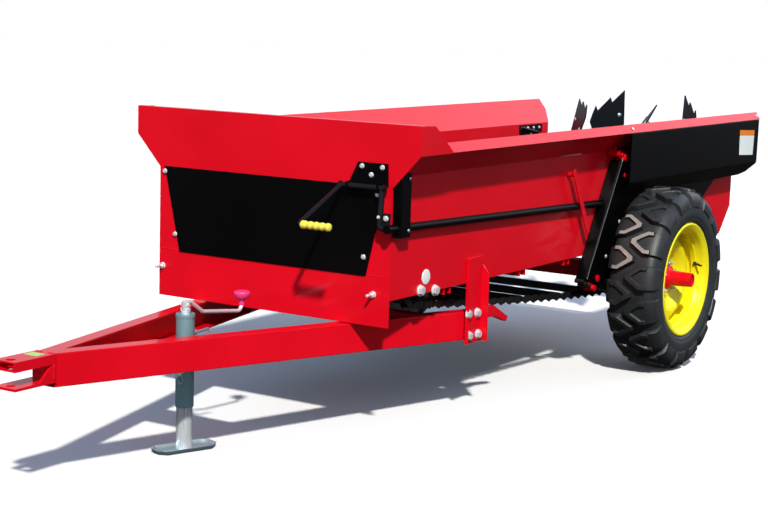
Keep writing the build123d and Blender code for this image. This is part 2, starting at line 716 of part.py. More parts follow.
def build_apron():
    """Two chain loops, the slats between them, and the shafts that they run on."""
    stations = even_points(apron_path(), CHAIN_LINKS)
    outer = []
    inner = []
    for y, z, dy, dz in stations:
        for step, height in CHAIN_BARREL:
            outer.append((y + step * dy - dz * height, z + step * dz + dy * height))
        inner.append((y + dz * CHAIN_HALF_HEIGHT, z - dy * CHAIN_HALF_HEIGHT))
    for name, sign in SIDES:
        low, high = CHAIN_X - CHAIN_WIDTH / 2, CHAIN_X + CHAIN_WIDTH / 2
        chain = along_x(outer, low, high) - along_x(inner, low - 1.0, high + 1.0)
        save("apron_chain_" + name, to_side(chain, sign))
    slat_half = CHAIN_X - CHAIN_WIDTH / 2 - SEAT
    slats = []
    for i in range(0, CHAIN_LINKS, LINKS_PER_SLAT):
        y, z, dy, dz = stations[i]
        plane = Plane(origin=(0, y, z), x_dir=(1, 0, 0), z_dir=(0, -dz, dy))
        lift = SLAT_HEIGHT / 2 - CHAIN_HALF_HEIGHT
        slats.append(plane * Pos(0, 0, lift) * Box(2 * slat_half, SLAT_WIDTH, SLAT_HEIGHT))
    save("apron_slats", group(slats))
    for name, y in (("idler_shaft", APRON_FRONT_Y), ("apron_drive_shaft", APRON_REAR_Y)):
        half = WALL_IN_X - SEAT
        shaft = rod_x(APRON_SHAFT_RADIUS, -half, half, y, APRON_AXIS_Z)
        for sign in (1, -1):
            low = sign * CHAIN_X - SPROCKET_WIDTH / 2
            shaft = shaft + rod_x(SPROCKET_RADIUS, low, low + SPROCKET_WIDTH, y, APRON_AXIS_Z)
        save(name, shaft)


# ---------------------------------------------------------------- beater
PADDLES = (
    # place along the shaft as a share of the way to the wall, angle round it from straight up
    # (towards the rear), hand of the twist, side of the long edge
    (-0.733, 100.0, 1, 1),
    (-0.350, 26.0, -1, -1),
    (0.0, -3.0, 1, 1),
    (0.208, 53.0, -1, 1),
    (0.503, 130.0, 1, -1),
    (0.842, 6.0, -1, -1),
)


def paddle(x, angle, twist, side):
    """Flat plate with a sawtooth end that stands on the beater's tube; side is 1 for a long edge at +X."""
    foot = BEATER_TUBE_RADIUS - 4.0
    tip, edge = PADDLE_LENGTH, PADDLE_HALF_WIDTH
    outline = (
        # distance from the shaft's axis, distance across the plate
        (foot, -36.0),
        (tip - 135.0, -0.85 * edge),
        (tip - 113.0, -0.77 * edge),
        (tip - 65.0, -0.54 * edge),
        (tip - 87.0, -0.44 * edge),
        (tip - 31.0, 0.25 * edge),
        (tip - 53.0, 0.33 * edge),
        (tip, edge),
        (tip - 150.0, edge),
        (foot, 36.0),
    )
    face = make_face(Polyline(*[(side * b, 0, r) for r, b in outline], close=True))
    plate = extrude(face, amount=PADDLE_GAUGE / 2, dir=(0, 1, 0), both=True)
    plate = Rot(0, 0, twist * PADDLE_TWIST) * plate
    return Pos(x, BEATER_Y, BEATER_Z) * Rot(-angle, 0, 0) * plate


def build_beater():
    """Beater: a tube across the box with pairs of paddles, on stubs that run in side bearings."""
    shaft = rod_x(BEATER_TUBE_RADIUS, -BEATER_TUBE_HALF, BEATER_TUBE_HALF, BEATER_Y, BEATER_Z)
    shaft = shaft + rod_x(BEATER_STUB_RADIUS, -BEATER_STUB_END, BEATER_STUB_END, BEATER_Y, BEATER_Z)
    for place, angle, twist, side in PADDLES:
        x = place * WALL_IN_X
        shaft = shaft + paddle(x, angle, twist, side) + paddle(x, angle + 180.0, twist, side)
    save("beater", shaft)
    inner = WALL_X + SEAT
    boss_end = inner + BEATER_BOSS_LENGTH
    for name, sign in SIDES:
        flange = Pos(inner + BEATER_FLANGE_GAUGE / 2, BEATER_Y, BEATER_Z) * Box(
            BEATER_FLANGE_GAUGE, BEATER_FLANGE, BEATER_FLANGE
        )
        boss = rod_x(BEATER_BOSS_RADIUS, inner, boss_end, BEATER_Y, BEATER_Z)
        bore = rod_x(BEATER_STUB_RADIUS + RUNNING_GAP, inner - 1.0, boss_end + 1.0, BEATER_Y, BEATER_Z)
        save("beater_bearing_" + name, to_side(flange + boss - bore, sign))


# ---------------------------------------------------------------- tongue
def beam_direction():
    front = Vector(TONGUE_FRONT_X, TONGUE_FRONT_Y, TONGUE_FRONT_Z)
    rear = Vector(WALL_X, UPRIGHT_Y, TONGUE_REAR_Z)
    return front, (rear - front).normalized()


def beam_x(y, depth):
    """Place across the machine, at a seat's gap, of a beam's plane at a depth from its outer face."""
    front, direction = beam_direction()
    slope = direction.X / direction.Y
    return front.X + slope * (y - front.Y) - depth * math.sqrt(1 + slope * slope) - SEAT


def between_beams(y_low, y_high, depth, z_low, z_high):
    """Level piece across the tongue that ends at a depth from both beams' outer faces."""
    corners = [(beam_x(y_low, depth), y_low), (beam_x(y_high, depth), y_high)]
    corners += [(-x, y) for x, y in reversed(corners)]
    return along_z(corners, z_low, z_high)


def tongue_beam():
    """Channel from the hitch to the upright, open towards the middle and mitred on it."""
    front, direction = beam_direction()
    outward = direction.cross(Vector(0, 0, 1)).normalized()
    plane = Plane(origin=front - direction * 120.0, x_dir=outward, z_dir=direction)
    length = 2000.0
    middle = Pos(-BEAM_WIDTH / 2, -BEAM_HEIGHT / 2, length / 2)
    room = Pos(-BEAM_WALL, 0, 0) * Box(BEAM_WIDTH, BEAM_HEIGHT - 2 * BEAM_WALL, length)
    beam = plane * middle * (Box(BEAM_WIDTH, BEAM_HEIGHT, length) - room)
    keep = block(SEAT / 2, WALL_X, TONGUE_FRONT_Y, TONGUE_REAR_Y, 100.0, 500.0)
    return beam & keep


def upright():
    """Channel that stands on the outside of the box and the tongue and is bolted to both."""
    inner = WALL_X + SEAT
    outer = inner + UPRIGHT_FLANGE
    front, rear = UPRIGHT_Y - UPRIGHT_WIDTH / 2, UPRIGHT_Y + UPRIGHT_WIDTH / 2
    web = block(inner, inner + UPRIGHT_GAUGE, front, rear, UPRIGHT_BOTTOM_Z, UPRIGHT_TOP_Z)
    flange_outline = (
        (inner, UPRIGHT_BOTTOM_Z),
        (outer, UPRIGHT_BOTTOM_Z),
        (outer, UPRIGHT_TOP_Z - 60.0),
        (inner, UPRIGHT_TOP_Z - 22.0),
    )
    rear_flange = along_y(flange_outline, rear - UPRIGHT_GAUGE, rear)
    front_flange = block(inner, outer - 16.0, front, front + UPRIGHT_GAUGE, UPRIGHT_BOTTOM_Z, UPRIGHT_TOP_Z)
    return web + rear_flange + front_flange


def heel():
    """Flat bar that runs on behind the upright from the beam's end and slopes down."""
    start = TONGUE_REAR_Y + SEAT
    outline = (
        (start, HEEL_TOP_Z),
        (start + 95.0, HEEL_TOP_Z),
        (HEEL_REAR_Y, HEEL_END_TOP_Z),
        (HEEL_REAR_Y - 11.0, HEEL_END_BOTTOM_Z),
        (start + 95.0, HEEL_BOTTOM_Z),
        (start, HEEL_BOTTOM_Z),
    )
    return along_x(outline, WALL_X - HEEL_GAUGE, WALL_X)


def hitch():
    """Clevis at the tongue's front end: a flat tube above, a plate below and a web between."""
    rear = TONGUE_FRONT_Y - SEAT
    half = HITCH_HALF_WIDTH
    room_half = half - HITCH_TUBE_WALL
    room_low, room_high = HITCH_UPPER_Z + HITCH_TUBE_WALL, HITCH_TOP_Z - HITCH_TUBE_WALL
    upper = block(-half, half, HITCH_FRONT_Y, rear, HITCH_UPPER_Z, HITCH_TOP_Z)
    upper = upper - block(-room_half, room_half, HITCH_FRONT_Y - 1.0, HITCH_WEB_Y, room_low, room_high)
    lower = block(-half, half, HITCH_FRONT_Y, rear, HITCH_LOWER_Z - HITCH_PLATE, HITCH_LOWER_Z)
    web = block(-half, half, HITCH_WEB_Y, rear, HITCH_LOWER_Z - 1.0, HITCH_UPPER_Z + 1.0)
    gusset_outline = (
        (HITCH_WEB_Y - HITCH_GUSSET, HITCH_LOWER_Z - 1.0),
        (HITCH_WEB_Y + 1.0, HITCH_UPPER_Z + 1.0),
        (HITCH_WEB_Y + 1.0, HITCH_LOWER_Z - 1.0),
    )
    gusset = along_x(gusset_outline, half - HITCH_PLATE, half)
    hole = rod_z(HITCH_PIN_RADIUS, 0, HITCH_PIN_Y, HITCH_LOWER_Z - 20.0, HITCH_TOP_Z + 10.0)
    return upper + lower + web + gusset - hole


def jack_plate():
    """Level plate welded between the beams' lower flanges, with the hole that the jack stands in."""
    y_low, y_high = JACK_Y - JACK_PLATE_FRONT, JACK_Y + JACK_PLATE_REAR
    plate = between_beams(y_low, y_high, BEAM_WIDTH, JACK_PLATE_TOP_Z - JACK_PLATE, JACK_PLATE_TOP_Z)
    hole = rod_z(JACK_RADIUS + SEAT, 0, JACK_Y, JACK_PLATE_TOP_Z - 20.0, JACK_PLATE_TOP_Z + 20.0)
    return plate - hole


def build_tongue():
    for name, sign in SIDES:
        save("tongue_beam_" + name, to_side(tongue_beam(), sign))
        save("upright_" + name, to_side(upright(), sign))
        save("tongue_heel_" + name, to_side(heel(), sign))
    save("hitch", hitch())
    save("jack_plate", jack_plate())
    y_low, y_high = UPRIGHT_Y - CROSS_TUBE / 2, UPRIGHT_Y + CROSS_TUBE / 2
    z_low = TONGUE_REAR_Z + CROSS_TUBE_RISE
    save("tongue_cross_tube", between_beams(y_low, y_high, BEAM_WALL, z_low, z_low + CROSS_TUBE))


# ---------------------------------------------------------------- jack
def build_jack():
    sleeve = rod_z(JACK_RADIUS, 0, JACK_Y, JACK_SLEEVE_BOTTOM_Z, JACK_TOP_Z)
    bore = rod_z(JACK_BORE_RADIUS, 0, JACK_Y, JACK_SLEEVE_BOTTOM_Z - 1.0, JACK_TOP_Z - 8.0)
    collar = rod_z(JACK_RADIUS + JACK_COLLAR, 0, JACK_Y, JACK_PLATE_TOP_Z + SEAT, JACK_PLATE_TOP_Z + 8.0)
    cap = rod_z(JACK_CAP_RADIUS, 0, JACK_Y, JACK_TOP_Z - 1.0, JACK_TOP_Z + JACK_CAP_HEIGHT)
    save("jack_sleeve", sleeve + collar - bore + cap)

    foot_top = GROUND_Z + FOOT_GAUGE
    inner = rod_z(JACK_INNER_RADIUS, 0, JACK_Y, foot_top + SEAT, JACK_INNER_TOP_Z)
    hollow = rod_z(JACK_INNER_RADIUS - 4.0, 0, JACK_Y, foot_top + 8.0, JACK_INNER_TOP_Z + 1.0)
    save("jack_leg", inner - hollow)

    long_half, wide_half, cut = FOOT_LENGTH / 2, FOOT_WIDTH / 2, FOOT_CUT
    corners = [
        (wide_half - cut, -long_half),
        (wide_half, -long_half + cut),
        (wide_half, long_half - cut),
        (wide_half - cut, long_half),
    ]
    corners += [(-x, y) for x, y in reversed(corners)]
    dish = along_z(corners, 0, FOOT_HEIGHT)
    bottom = make_face(Polyline(*[(x, y, FOOT_GAUGE) for x, y in corners], close=True))
    room = extrude(offset(bottom, amount=-FOOT_GAUGE), amount=FOOT_HEIGHT, dir=(0, 0, 1))
    dish = dish - room
    save("jack_foot", Pos(0, JACK_Y, GROUND_Z) * Rot(0, 0, FOOT_TURN) * dish)

    build_crank()


def build_crank():
    """Crank rod that runs back from the cap's side, down and level again, and up to its knob."""
    top_z = JACK_TOP_Z + JACK_CAP_HEIGHT - CRANK_DROP
    low_z = top_z - CRANK_FALL
    start = JACK_Y + JACK_CAP_RADIUS + SEAT
    knob_y = start + CRANK_REACH
    path = ((start, top_z), (start + 34.0, top_z), (start + 76.0, top_z - 28.0), (knob_y, low_z))
    rod = None
    for (y0, z0), (y1, z1) in zip(path, path[1:]):
        run = rod_between(CRANK_RADIUS, (0, y0, z0), (0, y1, z1))
        joint = Pos(0, y1, z1) * Sphere(CRANK_RADIUS)
        rod = run + joint if rod is None else rod + run + joint
    knob_z = low_z + KNOB_RISE
    post = rod_z(CRANK_RADIUS, 0, knob_y, low_z, knob_z + KNOB_HEIGHT - 5.0)
    save("jack_crank", rod + post)
    inner = CRANK_RADIUS + SEAT
    profile = (
        (inner, 0, 0),
        (0.5 * KNOB_RADIUS, 0, 0),
        (KNOB_RADIUS, 0, KNOB_HEIGHT - 5.0),
        (KNOB_RADIUS - 4.0, 0, KNOB_HEIGHT),
        (inner, 0, KNOB_HEIGHT),
    )
    knob = revolve(make_face(Polyline(*profile, close=True)), Axis.Z, 360)
    save("jack_knob", Pos(0, knob_y, knob_z) * knob)


# ---------------------------------------------------------------- controls
def lever_bracket():
    """Plate on the front panel above the cover, with two ears down to the lever's pivot."""
    right, left = LEVER_RIGHT_X + 12.0, LEVER_LEFT_X + 7.0
    bottom, top = COVER_TOP_Z + BRACKET_LAP, COVER_TOP_Z + BRACKET_RISE
    outline = ((right, bottom), (left, bottom), (left - 3.0, top), (right + 34.0, top))
    plate = along_y(outline, -SEAT - BRACKET_GAUGE, -SEAT)
    for x in (LEVER_RIGHT_X + 24.0, LEVER_LEFT_X - 14.0):
        low, high = LEVER_PIVOT_Z - EAR_DROP, COVER_TOP_Z + EAR_RISE
        plate = plate + block(x - 3.0, x + 3.0, LEVER_PIVOT_Y - EAR_REACH, -SEAT, low, high)
    room = SEAT + COVER_GAUGE + SEAT
    ear_low = LEVER_PIVOT_Z - EAR_DROP
    cover_room = block(right - 9.0, left + 9.0, -room, 1.0, ear_low - 1.0, COVER_TOP_Z + SEAT)
    bore = rod_x(LEVER_PIVOT_RADIUS + RUNNING_GAP, right - 9.0, left + 9.0, LEVER_PIVOT_Y, LEVER_PIVOT_Z)
    return plate - bore - cover_room


def build_lever():
    """Hand lever: a pivot bar, a long arm down to the grip and a short arm to the control tube."""
    y, z, radius = LEVER_PIVOT_Y, LEVER_PIVOT_Z, LEVER_ROD_RADIUS
    wrist_y = TUBE_FRONT_Y + 14.0
    pivot = rod_x(LEVER_PIVOT_RADIUS, LEVER_RIGHT_X - 6.0, LEVER_LEFT_X + 6.0, y, z)
    long_arm = rod_between(radius, (LEVER_RIGHT_X, y, z), (GRIP_ARM_X, GRIP_Y, GRIP_Z))
    cross_bar = rod_x(radius, GRIP_ARM_X - 7.0, GRIP_ARM_X + GRIP_LENGTH - 6.0, GRIP_Y, GRIP_Z)
    short_arm = rod_between(radius + 1.0, (LEVER_LEFT_X, y, z), (LEVER_LEFT_X, wrist_y, TUBE_FRONT_Z))
    wrist = rod_x(radius - 1.0, LEVER_LEFT_X, TUBE_X - TUBE_RADIUS - SEAT, wrist_y, TUBE_FRONT_Z)
    save("hand_lever", pivot + long_arm + cross_bar + short_arm + wrist)
    low = GRIP_ARM_X + radius + 4.0
    high = low + GRIP_LENGTH
    grip = rod_x(GRIP_RADIUS, low, high, GRIP_Y, GRIP_Z)
    save("lever_grip", grip - rod_x(radius + SEAT, low - 1.0, high - 12.0, GRIP_Y, GRIP_Z))


def control_tube(start_y, end_y, radius):
    """Stretch of the line from the hand lever to the case, as a round bar."""
    ends = [(TUBE_X, y, TUBE_FRONT_Z + TUBE_SLOPE * (y - TUBE_FRONT_Y)) for y in (start_y, end_y)]
    return rod_between(radius, *ends)


def guide_post():
    """Channel on the side wall that guides the control tube, cut off under the flare."""
    inner, outer = WALL_X + SEAT, TUBE_X + TUBE_RADIUS + 1.0 + POST_GAUGE
    corners = [(inner, POST_FRONT_Y), (outer, POST_FRONT_Y), (outer, POST_REAR_Y), (inner, POST_REAR_Y)]
    section = bent_strip(corners, -POST_GAUGE)
    post = along_z(section, POST_BOTTOM_Z, POST_TOP_Z)
    slope = (CREST_Z - FOLD_Z) / (CREST_X - WALL_X)
    start = FOLD_Z - 3.0
    reach = LIP_X - WALL_X
    flare_room = along_y(
        (
            (WALL_X - 5.0, start - 5.0 * slope),
            (WALL_X + reach, start + reach * slope),
            (WALL_X - 5.0, start + reach * slope),
        ),
        POST_FRONT_Y - 10.0,
        POST_REAR_Y + 10.0,
    )
    return post - control_tube(POST_FRONT_Y - 40.0, POST_REAR_Y + 40.0, TUBE_RADIUS + 1.0) - flare_room


def shift_rod():
    """Flat bar that hangs from a boss on the side wall, outside the control tube."""
    x = TUBE_X + TUBE_RADIUS + SEAT + SHIFT_ROD_GAUGE / 2
    start, end = Vector(x, *SHIFT_ROD_TOP), Vector(x, *SHIFT_ROD_BOTTOM)
    plane = Plane(origin=(start + end) / 2, x_dir=(1, 0, 0), z_dir=end - start)
    flat = plane * Box(SHIFT_ROD_GAUGE, SHIFT_ROD_WIDTH, (end - start).length)
    pin = start + (end - start).normalized() * 19.0
    return flat + rod_x(SHIFT_BOSS_RADIUS, WALL_X + SEAT, x - 1.0, pin.Y, pin.Z)


def build_controls():
    save("lever_bracket", lever_bracket())
    build_lever()
    (y0, z0), (y1, z1) = CASE_FRONT
    behind_case = ((y0 - 2 * SEAT, z0), (y1 - 2 * SEAT, z1), (y1 + 200.0, z1), (y1 + 200.0, z0))
    tube = control_tube(TUBE_FRONT_Y, y1, TUBE_RADIUS)
    save("control_tube", tube - along_x(behind_case, WALL_X, CASE_OUTER_X + 10.0))
    save("guide_post", guide_post())
    save("shift_rod", shift_rod())


def main():
    os.makedirs("parts", exist_ok=True)
    build_wheels()
    build_axle()
    build_box()
    build_floor()
    build_apron()
    build_beater()
    build_tongue()
    build_jack()
    build_controls()


main()
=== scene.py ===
"""Looks of the manure spreader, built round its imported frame.

Pieces are modelled in the machine's own millimetres: X to its left side, Y to its rear from the front
panel's face, Z up from a level just above the ground. piece() turns them into the frame's metres."""

import json
import math

import bmesh
import bpy
from mathutils import Matrix, Vector


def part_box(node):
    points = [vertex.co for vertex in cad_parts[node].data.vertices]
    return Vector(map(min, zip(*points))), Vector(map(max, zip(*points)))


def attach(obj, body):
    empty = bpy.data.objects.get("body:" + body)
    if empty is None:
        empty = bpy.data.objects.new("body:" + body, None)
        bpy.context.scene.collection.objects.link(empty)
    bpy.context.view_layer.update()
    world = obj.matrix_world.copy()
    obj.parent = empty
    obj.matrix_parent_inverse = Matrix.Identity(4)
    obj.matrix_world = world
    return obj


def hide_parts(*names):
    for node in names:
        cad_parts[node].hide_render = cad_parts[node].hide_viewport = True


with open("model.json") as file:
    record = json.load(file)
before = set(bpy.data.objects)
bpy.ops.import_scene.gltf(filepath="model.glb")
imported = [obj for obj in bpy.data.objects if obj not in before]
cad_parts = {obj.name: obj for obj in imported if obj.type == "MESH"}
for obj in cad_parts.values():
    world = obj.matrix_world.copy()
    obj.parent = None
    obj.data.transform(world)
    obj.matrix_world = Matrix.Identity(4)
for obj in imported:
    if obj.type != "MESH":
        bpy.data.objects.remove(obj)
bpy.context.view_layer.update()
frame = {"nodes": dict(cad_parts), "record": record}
nodes = frame["nodes"]

MM = 0.001
AXLE_Z = 343.0           # the axle's height in the machine's own millimetres
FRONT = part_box("front_panel")[0].y
LEVEL = (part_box("tyre_left")[0].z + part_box("tyre_left")[1].z) / 2 - AXLE_Z * MM
TO_FRAME = Matrix.Translation((0, FRONT, LEVEL)) @ Matrix.Scale(MM, 4)
TO_MM = TO_FRAME.inverted()
SIDES = (("left", 1), ("right", -1))
FRONT_AXIS, LEFT_AXIS, REAR_AXIS, UP_AXIS = (0, -1, 0), (1, 0, 0), (0, 1, 0), (0, 0, 1)


def box_mm(node):
    """Lowest and highest corner of a CAD node in the machine's millimetres."""
    low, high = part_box(node)
    return TO_MM @ low, TO_MM @ high


def middle_mm(node):
    """Middle of a CAD node's box in the machine's millimetres."""
    low, high = box_mm(node)
    return (low + high) / 2


# ---------------- places read from the frame
SEAT = 0.3               # bolted pieces lie this far from what carries them
COVER_FACE = box_mm("front_cover")[0].y
WALL_HIGH = box_mm("side_wall_left")[1]
TYRE_LOW, TYRE_HIGH = box_mm("tyre_left")
CASE_FACE = box_mm("drive_case_left")[1].x
SHIELD_FACE = box_mm("rear_shield_left")[1].x
UPRIGHT_X = box_mm("upright_left")[0].x
WALL_X = UPRIGHT_X - SEAT
GROUND_Z = (TO_MM @ Vector((0, 0, 0))).z
WHEEL = middle_mm("tyre_left")
TYRE_RADIUS = (TYRE_HIGH.y - TYRE_LOW.y) / 2
JACK = middle_mm("jack_sleeve")
SLEEVE_LOW, JACK_TOP = (corner.z for corner in box_mm("jack_sleeve"))
HITCH_LOW, HITCH_HIGH = box_mm("hitch")
LEVER_LOW, LEVER_HIGH = box_mm("hand_lever")
TUBE_LOW, TUBE_HIGH = box_mm("control_tube")
POST_HIGH = box_mm("guide_post")[1]
BEATER = middle_mm("beater_bearing_left")


def wheel_middle(side):
    """Middle of a wheel; side is 1 on the machine's left."""
    return Vector((side * WHEEL.x, WHEEL.y, WHEEL.z))


# ---------------- materials
def principled(name, color, roughness, metallic=0.0, coat=0.0, coat_roughness=0.05):
    """New material with its main shader, ready for texture nodes."""
    material = bpy.data.materials.new(name)
    material.use_nodes = True
    shader = material.node_tree.nodes["Principled BSDF"]
    shader.inputs["Base Color"].default_value = (*color, 1.0)
    shader.inputs["Roughness"].default_value = roughness
    shader.inputs["Metallic"].default_value = metallic
    shader.inputs["Coat Weight"].default_value = coat
    shader.inputs["Coat Roughness"].default_value = coat_roughness
    return material, shader


def noise_node(material, scale, detail=2.0, stretch=(1, 1, 1)):
    """Noise in the object's own coordinates; returns the texture node."""
    tree = material.node_tree
    place = tree.nodes.new("ShaderNodeTexCoord")
    mapping = tree.nodes.new("ShaderNodeMapping")
    mapping.inputs["Scale"].default_value = stretch
    texture = tree.nodes.new("ShaderNodeTexNoise")
    texture.inputs["Scale"].default_value = scale
    texture.inputs["Detail"].default_value = detail
    tree.links.new(place.outputs["Object"], mapping.inputs["Vector"])
    tree.links.new(mapping.outputs["Vector"], texture.inputs["Vector"])
    return texture


def ramp_to(material, texture, socket, stops):
    """Send a texture through a colour ramp of (place, grey or colour) stops into a socket."""
    tree = material.node_tree
    ramp = tree.nodes.new("ShaderNodeValToRGB")
    elements = ramp.color_ramp.elements
    for element, (place, value) in zip(elements, (stops[0], stops[-1])):
        element.position = place
        element.color = (value, value, value, 1) if isinstance(value, float) else (*value, 1)
    tree.links.new(texture.outputs["Fac"], ramp.inputs["Fac"])
    tree.links.new(ramp.outputs["Color"], socket)


def bump_to(material, texture, shader, strength, distance):
    """Small relief from a texture."""
    tree = material.node_tree
    bump = tree.nodes.new("ShaderNodeBump")
    bump.inputs["Strength"].default_value = strength
    bump.inputs["Distance"].default_value = distance
    tree.links.new(texture.outputs["Fac"], bump.inputs["Height"])
    tree.links.new(bump.outputs["Normal"], shader.inputs["Normal"])


def painted(name, color, shade, roughness, gloss, coat=0.0):
    """Sprayed paint: slight orange peel and a faint change of shade from place to place."""
    material, shader = principled(name, color, roughness, coat=coat, coat_roughness=0.10)
    shader.inputs["Specular IOR Level"].default_value = gloss
    ramp_to(material, noise_node(material, 3.0), shader.inputs["Base Color"], ((0.3, shade), (0.7, color)))
    bump_to(material, noise_node(material, 420.0), shader, 0.05, 0.0006)
    return material


def rubber(name, color, shade, roughness):
    """Dull rubber with a fine grain."""
    material, shader = principled(name, color, roughness)
    shader.inputs["Specular IOR Level"].default_value = 0.6
    patches = noise_node(material, 26.0, 4.0)
    ramp_to(material, patches, shader.inputs["Base Color"], ((0.35, shade), (0.7, color)))
    bump_to(material, noise_node(material, 900.0), shader, 0.25, 0.0008)
    return material


def steel(name, color, roughness, rough_far, metallic, stretch=(1, 1, 1)):
    """Metal whose roughness changes from place to place."""
    material, shader = principled(name, color, roughness, metallic=metallic)
    texture = noise_node(material, 18.0, 4.0, stretch)
    ramp_to(material, texture, shader.inputs["Roughness"], ((0.3, roughness), (0.7, rough_far)))
    return material


PAINTS = (
    # name, colour, shade, roughness, gloss, coat; those of the record's slots bear the slot's name
    ("red_paint", (0.76, 0.003, 0.014), (0.68, 0.002, 0.011), 0.34, 0.10, 0.3),
    ("black_paint", (0.0018, 0.0018, 0.0020), (0.0014, 0.0014, 0.0015), 0.34, 0.07),
    # lighter than the black paint: painted light for the sun on the lever's rods
    ("rod_black_lit", (0.007, 0.007, 0.009), (0.005, 0.005, 0.007), 0.30, 0.3),
    ("beater_paint", (0.006, 0.009, 0.012), (0.005, 0.007, 0.009), 0.42, 0.12),
    ("rim_yellow", (0.90, 0.80, 0.012), (0.84, 0.72, 0.010), 0.30, 0.3),
    ("knob_red", (0.92, 0.05, 0.22), (0.86, 0.04, 0.18), 0.42, 0.4),
    ("grip_yellow", (0.86, 0.80, 0.10), (0.80, 0.72, 0.07), 0.46, 0.4),
    ("floor_board", (0.010, 0.010, 0.011), (0.006, 0.006, 0.006), 0.55, 0.2),
    # grey line on the drive cases' bent edge: a painted highlight where the bend catches the light
    ("edge_highlight_grey", (0.30, 0.34, 0.36), (0.22, 0.25, 0.27), 0.4, 0.3),
    ("plate_white", (0.82, 0.86, 0.84), (0.76, 0.80, 0.78), 0.5, 0.3),
    ("plate_orange", (0.86, 0.24, 0.01), (0.80, 0.20, 0.01), 0.5, 0.3),
    ("plate_green", (0.50, 0.80, 0.24), (0.44, 0.72, 0.20), 0.5, 0.3),
)
RUBBERS = (
    # name, colour, shade, roughness
    ("tyre", (0.020, 0.023, 0.024), (0.013, 0.015, 0.016), 0.50),
    # light bar tops: partly wear, partly a painted glint of the sun on the rubber
    ("tread_wear_and_glint", (0.34, 0.30, 0.27), (0.22, 0.19, 0.17), 0.62),
)
STEELS = (
    # name, colour, lowest and highest roughness, how metallic, stretch of the grain
    ("zinc_steel", (0.52, 0.68, 0.72), 0.32, 0.46, 0.8),
    ("sleeve_steel", (0.24, 0.42, 0.45), 0.40, 0.55, 0.5),
    ("bright_steel", (0.92, 0.96, 0.98), 0.22, 0.34, 0.55),
    ("drawn_steel", (0.86, 0.90, 0.91), 0.14, 0.42, 0.55, (9, 9, 0.25)),
    ("chain_steel", (0.010, 0.010, 0.010), 0.38, 0.60, 0.4),
)
paints = {}
for make, rows in ((painted, PAINTS), (rubber, RUBBERS), (steel, STEELS)):
    paints.update((row[0], make(*row)) for row in rows)
dict.fromkeys(("bright_steel", "drawn_steel", "sleeve_steel"), "zinc_steel")
dict.fromkeys(("plate_white", "plate_orange", "plate_green"), "grip_yellow")


# ---------------- pieces
FOLD_ANGLE = math.radians(25.0)      # an edge that turns more is a fold
CORNER_ANGLE = math.radians(40.0)    # an edge that turns more is a corner


def body_of(node):
    """Body that a CAD node rides on."""
    for body, members in frame["record"]["behaviour"]["bodies"].items():
        if node in members:
            return body
    return "chassis"


def add_object(name, data):
    """New object in the scene."""
    obj = bpy.data.objects.new(name, data)
    bpy.context.scene.collection.objects.link(obj)
    return obj


def piece(name, bm, paint, body="chassis", node=None, sharp=35.0, second=None, in_mm=True):
    """Turn a mesh under construction into a finished piece that rides on a body.

    A piece that shows in the place of a CAD node rides on that node's body."""
    if in_mm:
        bm.transform(TO_FRAME)
    bmesh.ops.recalc_face_normals(bm, faces=bm.faces)
    mesh = bpy.data.meshes.new(name)
    bm.to_mesh(mesh)
    bm.free()
    for polygon in mesh.polygons:
        polygon.use_smooth = True
    mesh.set_sharp_from_angle(angle=math.radians(sharp))
    mesh.materials.append(paints[paint])
    if second:
        mesh.materials.append(paints[second])
    obj = add_object(name, mesh)
    obj.modifiers.new("flat_faces", "WEIGHTED_NORMAL").keep_sharp = True
    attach(obj, body_of(node) if node else body)
    if node:
        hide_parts(node)


def face_width(face):
    """Narrow size of a face: its area over its longest edge."""
    return face.calc_area() / max(edge.calc_length() for edge in face.edges)


def turned_edges(bm, angle):
    """Edges whose two faces turn by more than an angle."""
    return [e for e in bm.edges if len(e.link_faces) == 2 and e.calc_face_angle() > angle]


def soften(bm, edges, radius, segments):
    """Round edges to a radius in millimetres."""
    bmesh.ops.bevel(
        bm, geom=edges, offset=radius * MM, segments=segments, profile=0.5, affect="EDGES", clamp_overlap=True
    )


def dressed(node, paint, fold=0.0, edge=0.6, gauge=3.0):
    """Copy of a CAD node with rounded folds and softened edges, shown in the node's place.

    fold is the outer radius of its bends and edge that of its other corners, in millimetres."""
    bm = bmesh.new()
    bm.from_mesh(nodes[node].data)
    bmesh.ops.remove_doubles(bm, verts=bm.verts, dist=0.01 * MM)
    bmesh.ops.dissolve_limit(bm, angle_limit=math.radians(0.4), verts=bm.verts, edges=bm.edges)
    if fold:
        wide = 2.2 * gauge * MM
        for convex, radius in ((True, fold), (False, max(fold - gauge, 1.0))):
            folds = [e for e in turned_edges(bm, FOLD_ANGLE) if e.is_convex == convex]
            folds = [e for e in folds if min(face_width(f) for f in e.link_faces) > wide]
            soften(bm, folds, radius, 4)
    soften(bm, turned_edges(bm, CORNER_ANGLE), edge, 2)
    piece(node + "_dressed", bm, paint, node=node, in_mm=False)


# ---------------- mesh helpers, in millimetres
def turn_to(axis):
    """Rotation that takes +Z to an axis."""
    return Vector(axis).to_track_quat("Z", "Y").to_matrix().to_4x4()


def frustum(bm, base, axis, radius, top_radius, height, sides=20):
    """Round or many-sided solid that stands on a point."""
    place = Matrix.Translation(Vector(base)) @ turn_to(axis) @ Matrix.Translation((0, 0, height / 2))
    bmesh.ops.create_cone(
        bm, cap_ends=True, segments=sides, radius1=radius, radius2=top_radius, depth=height, matrix=place
    )


def circle(bm, centre, side, up, radius, count):
    """Ring of vertices round a point, in the plane of two directions."""
    turns = [2 * math.pi * k / count for k in range(count)]
    return [bm.verts.new(centre + (side * math.cos(t) + up * math.sin(t)) * radius) for t in turns]


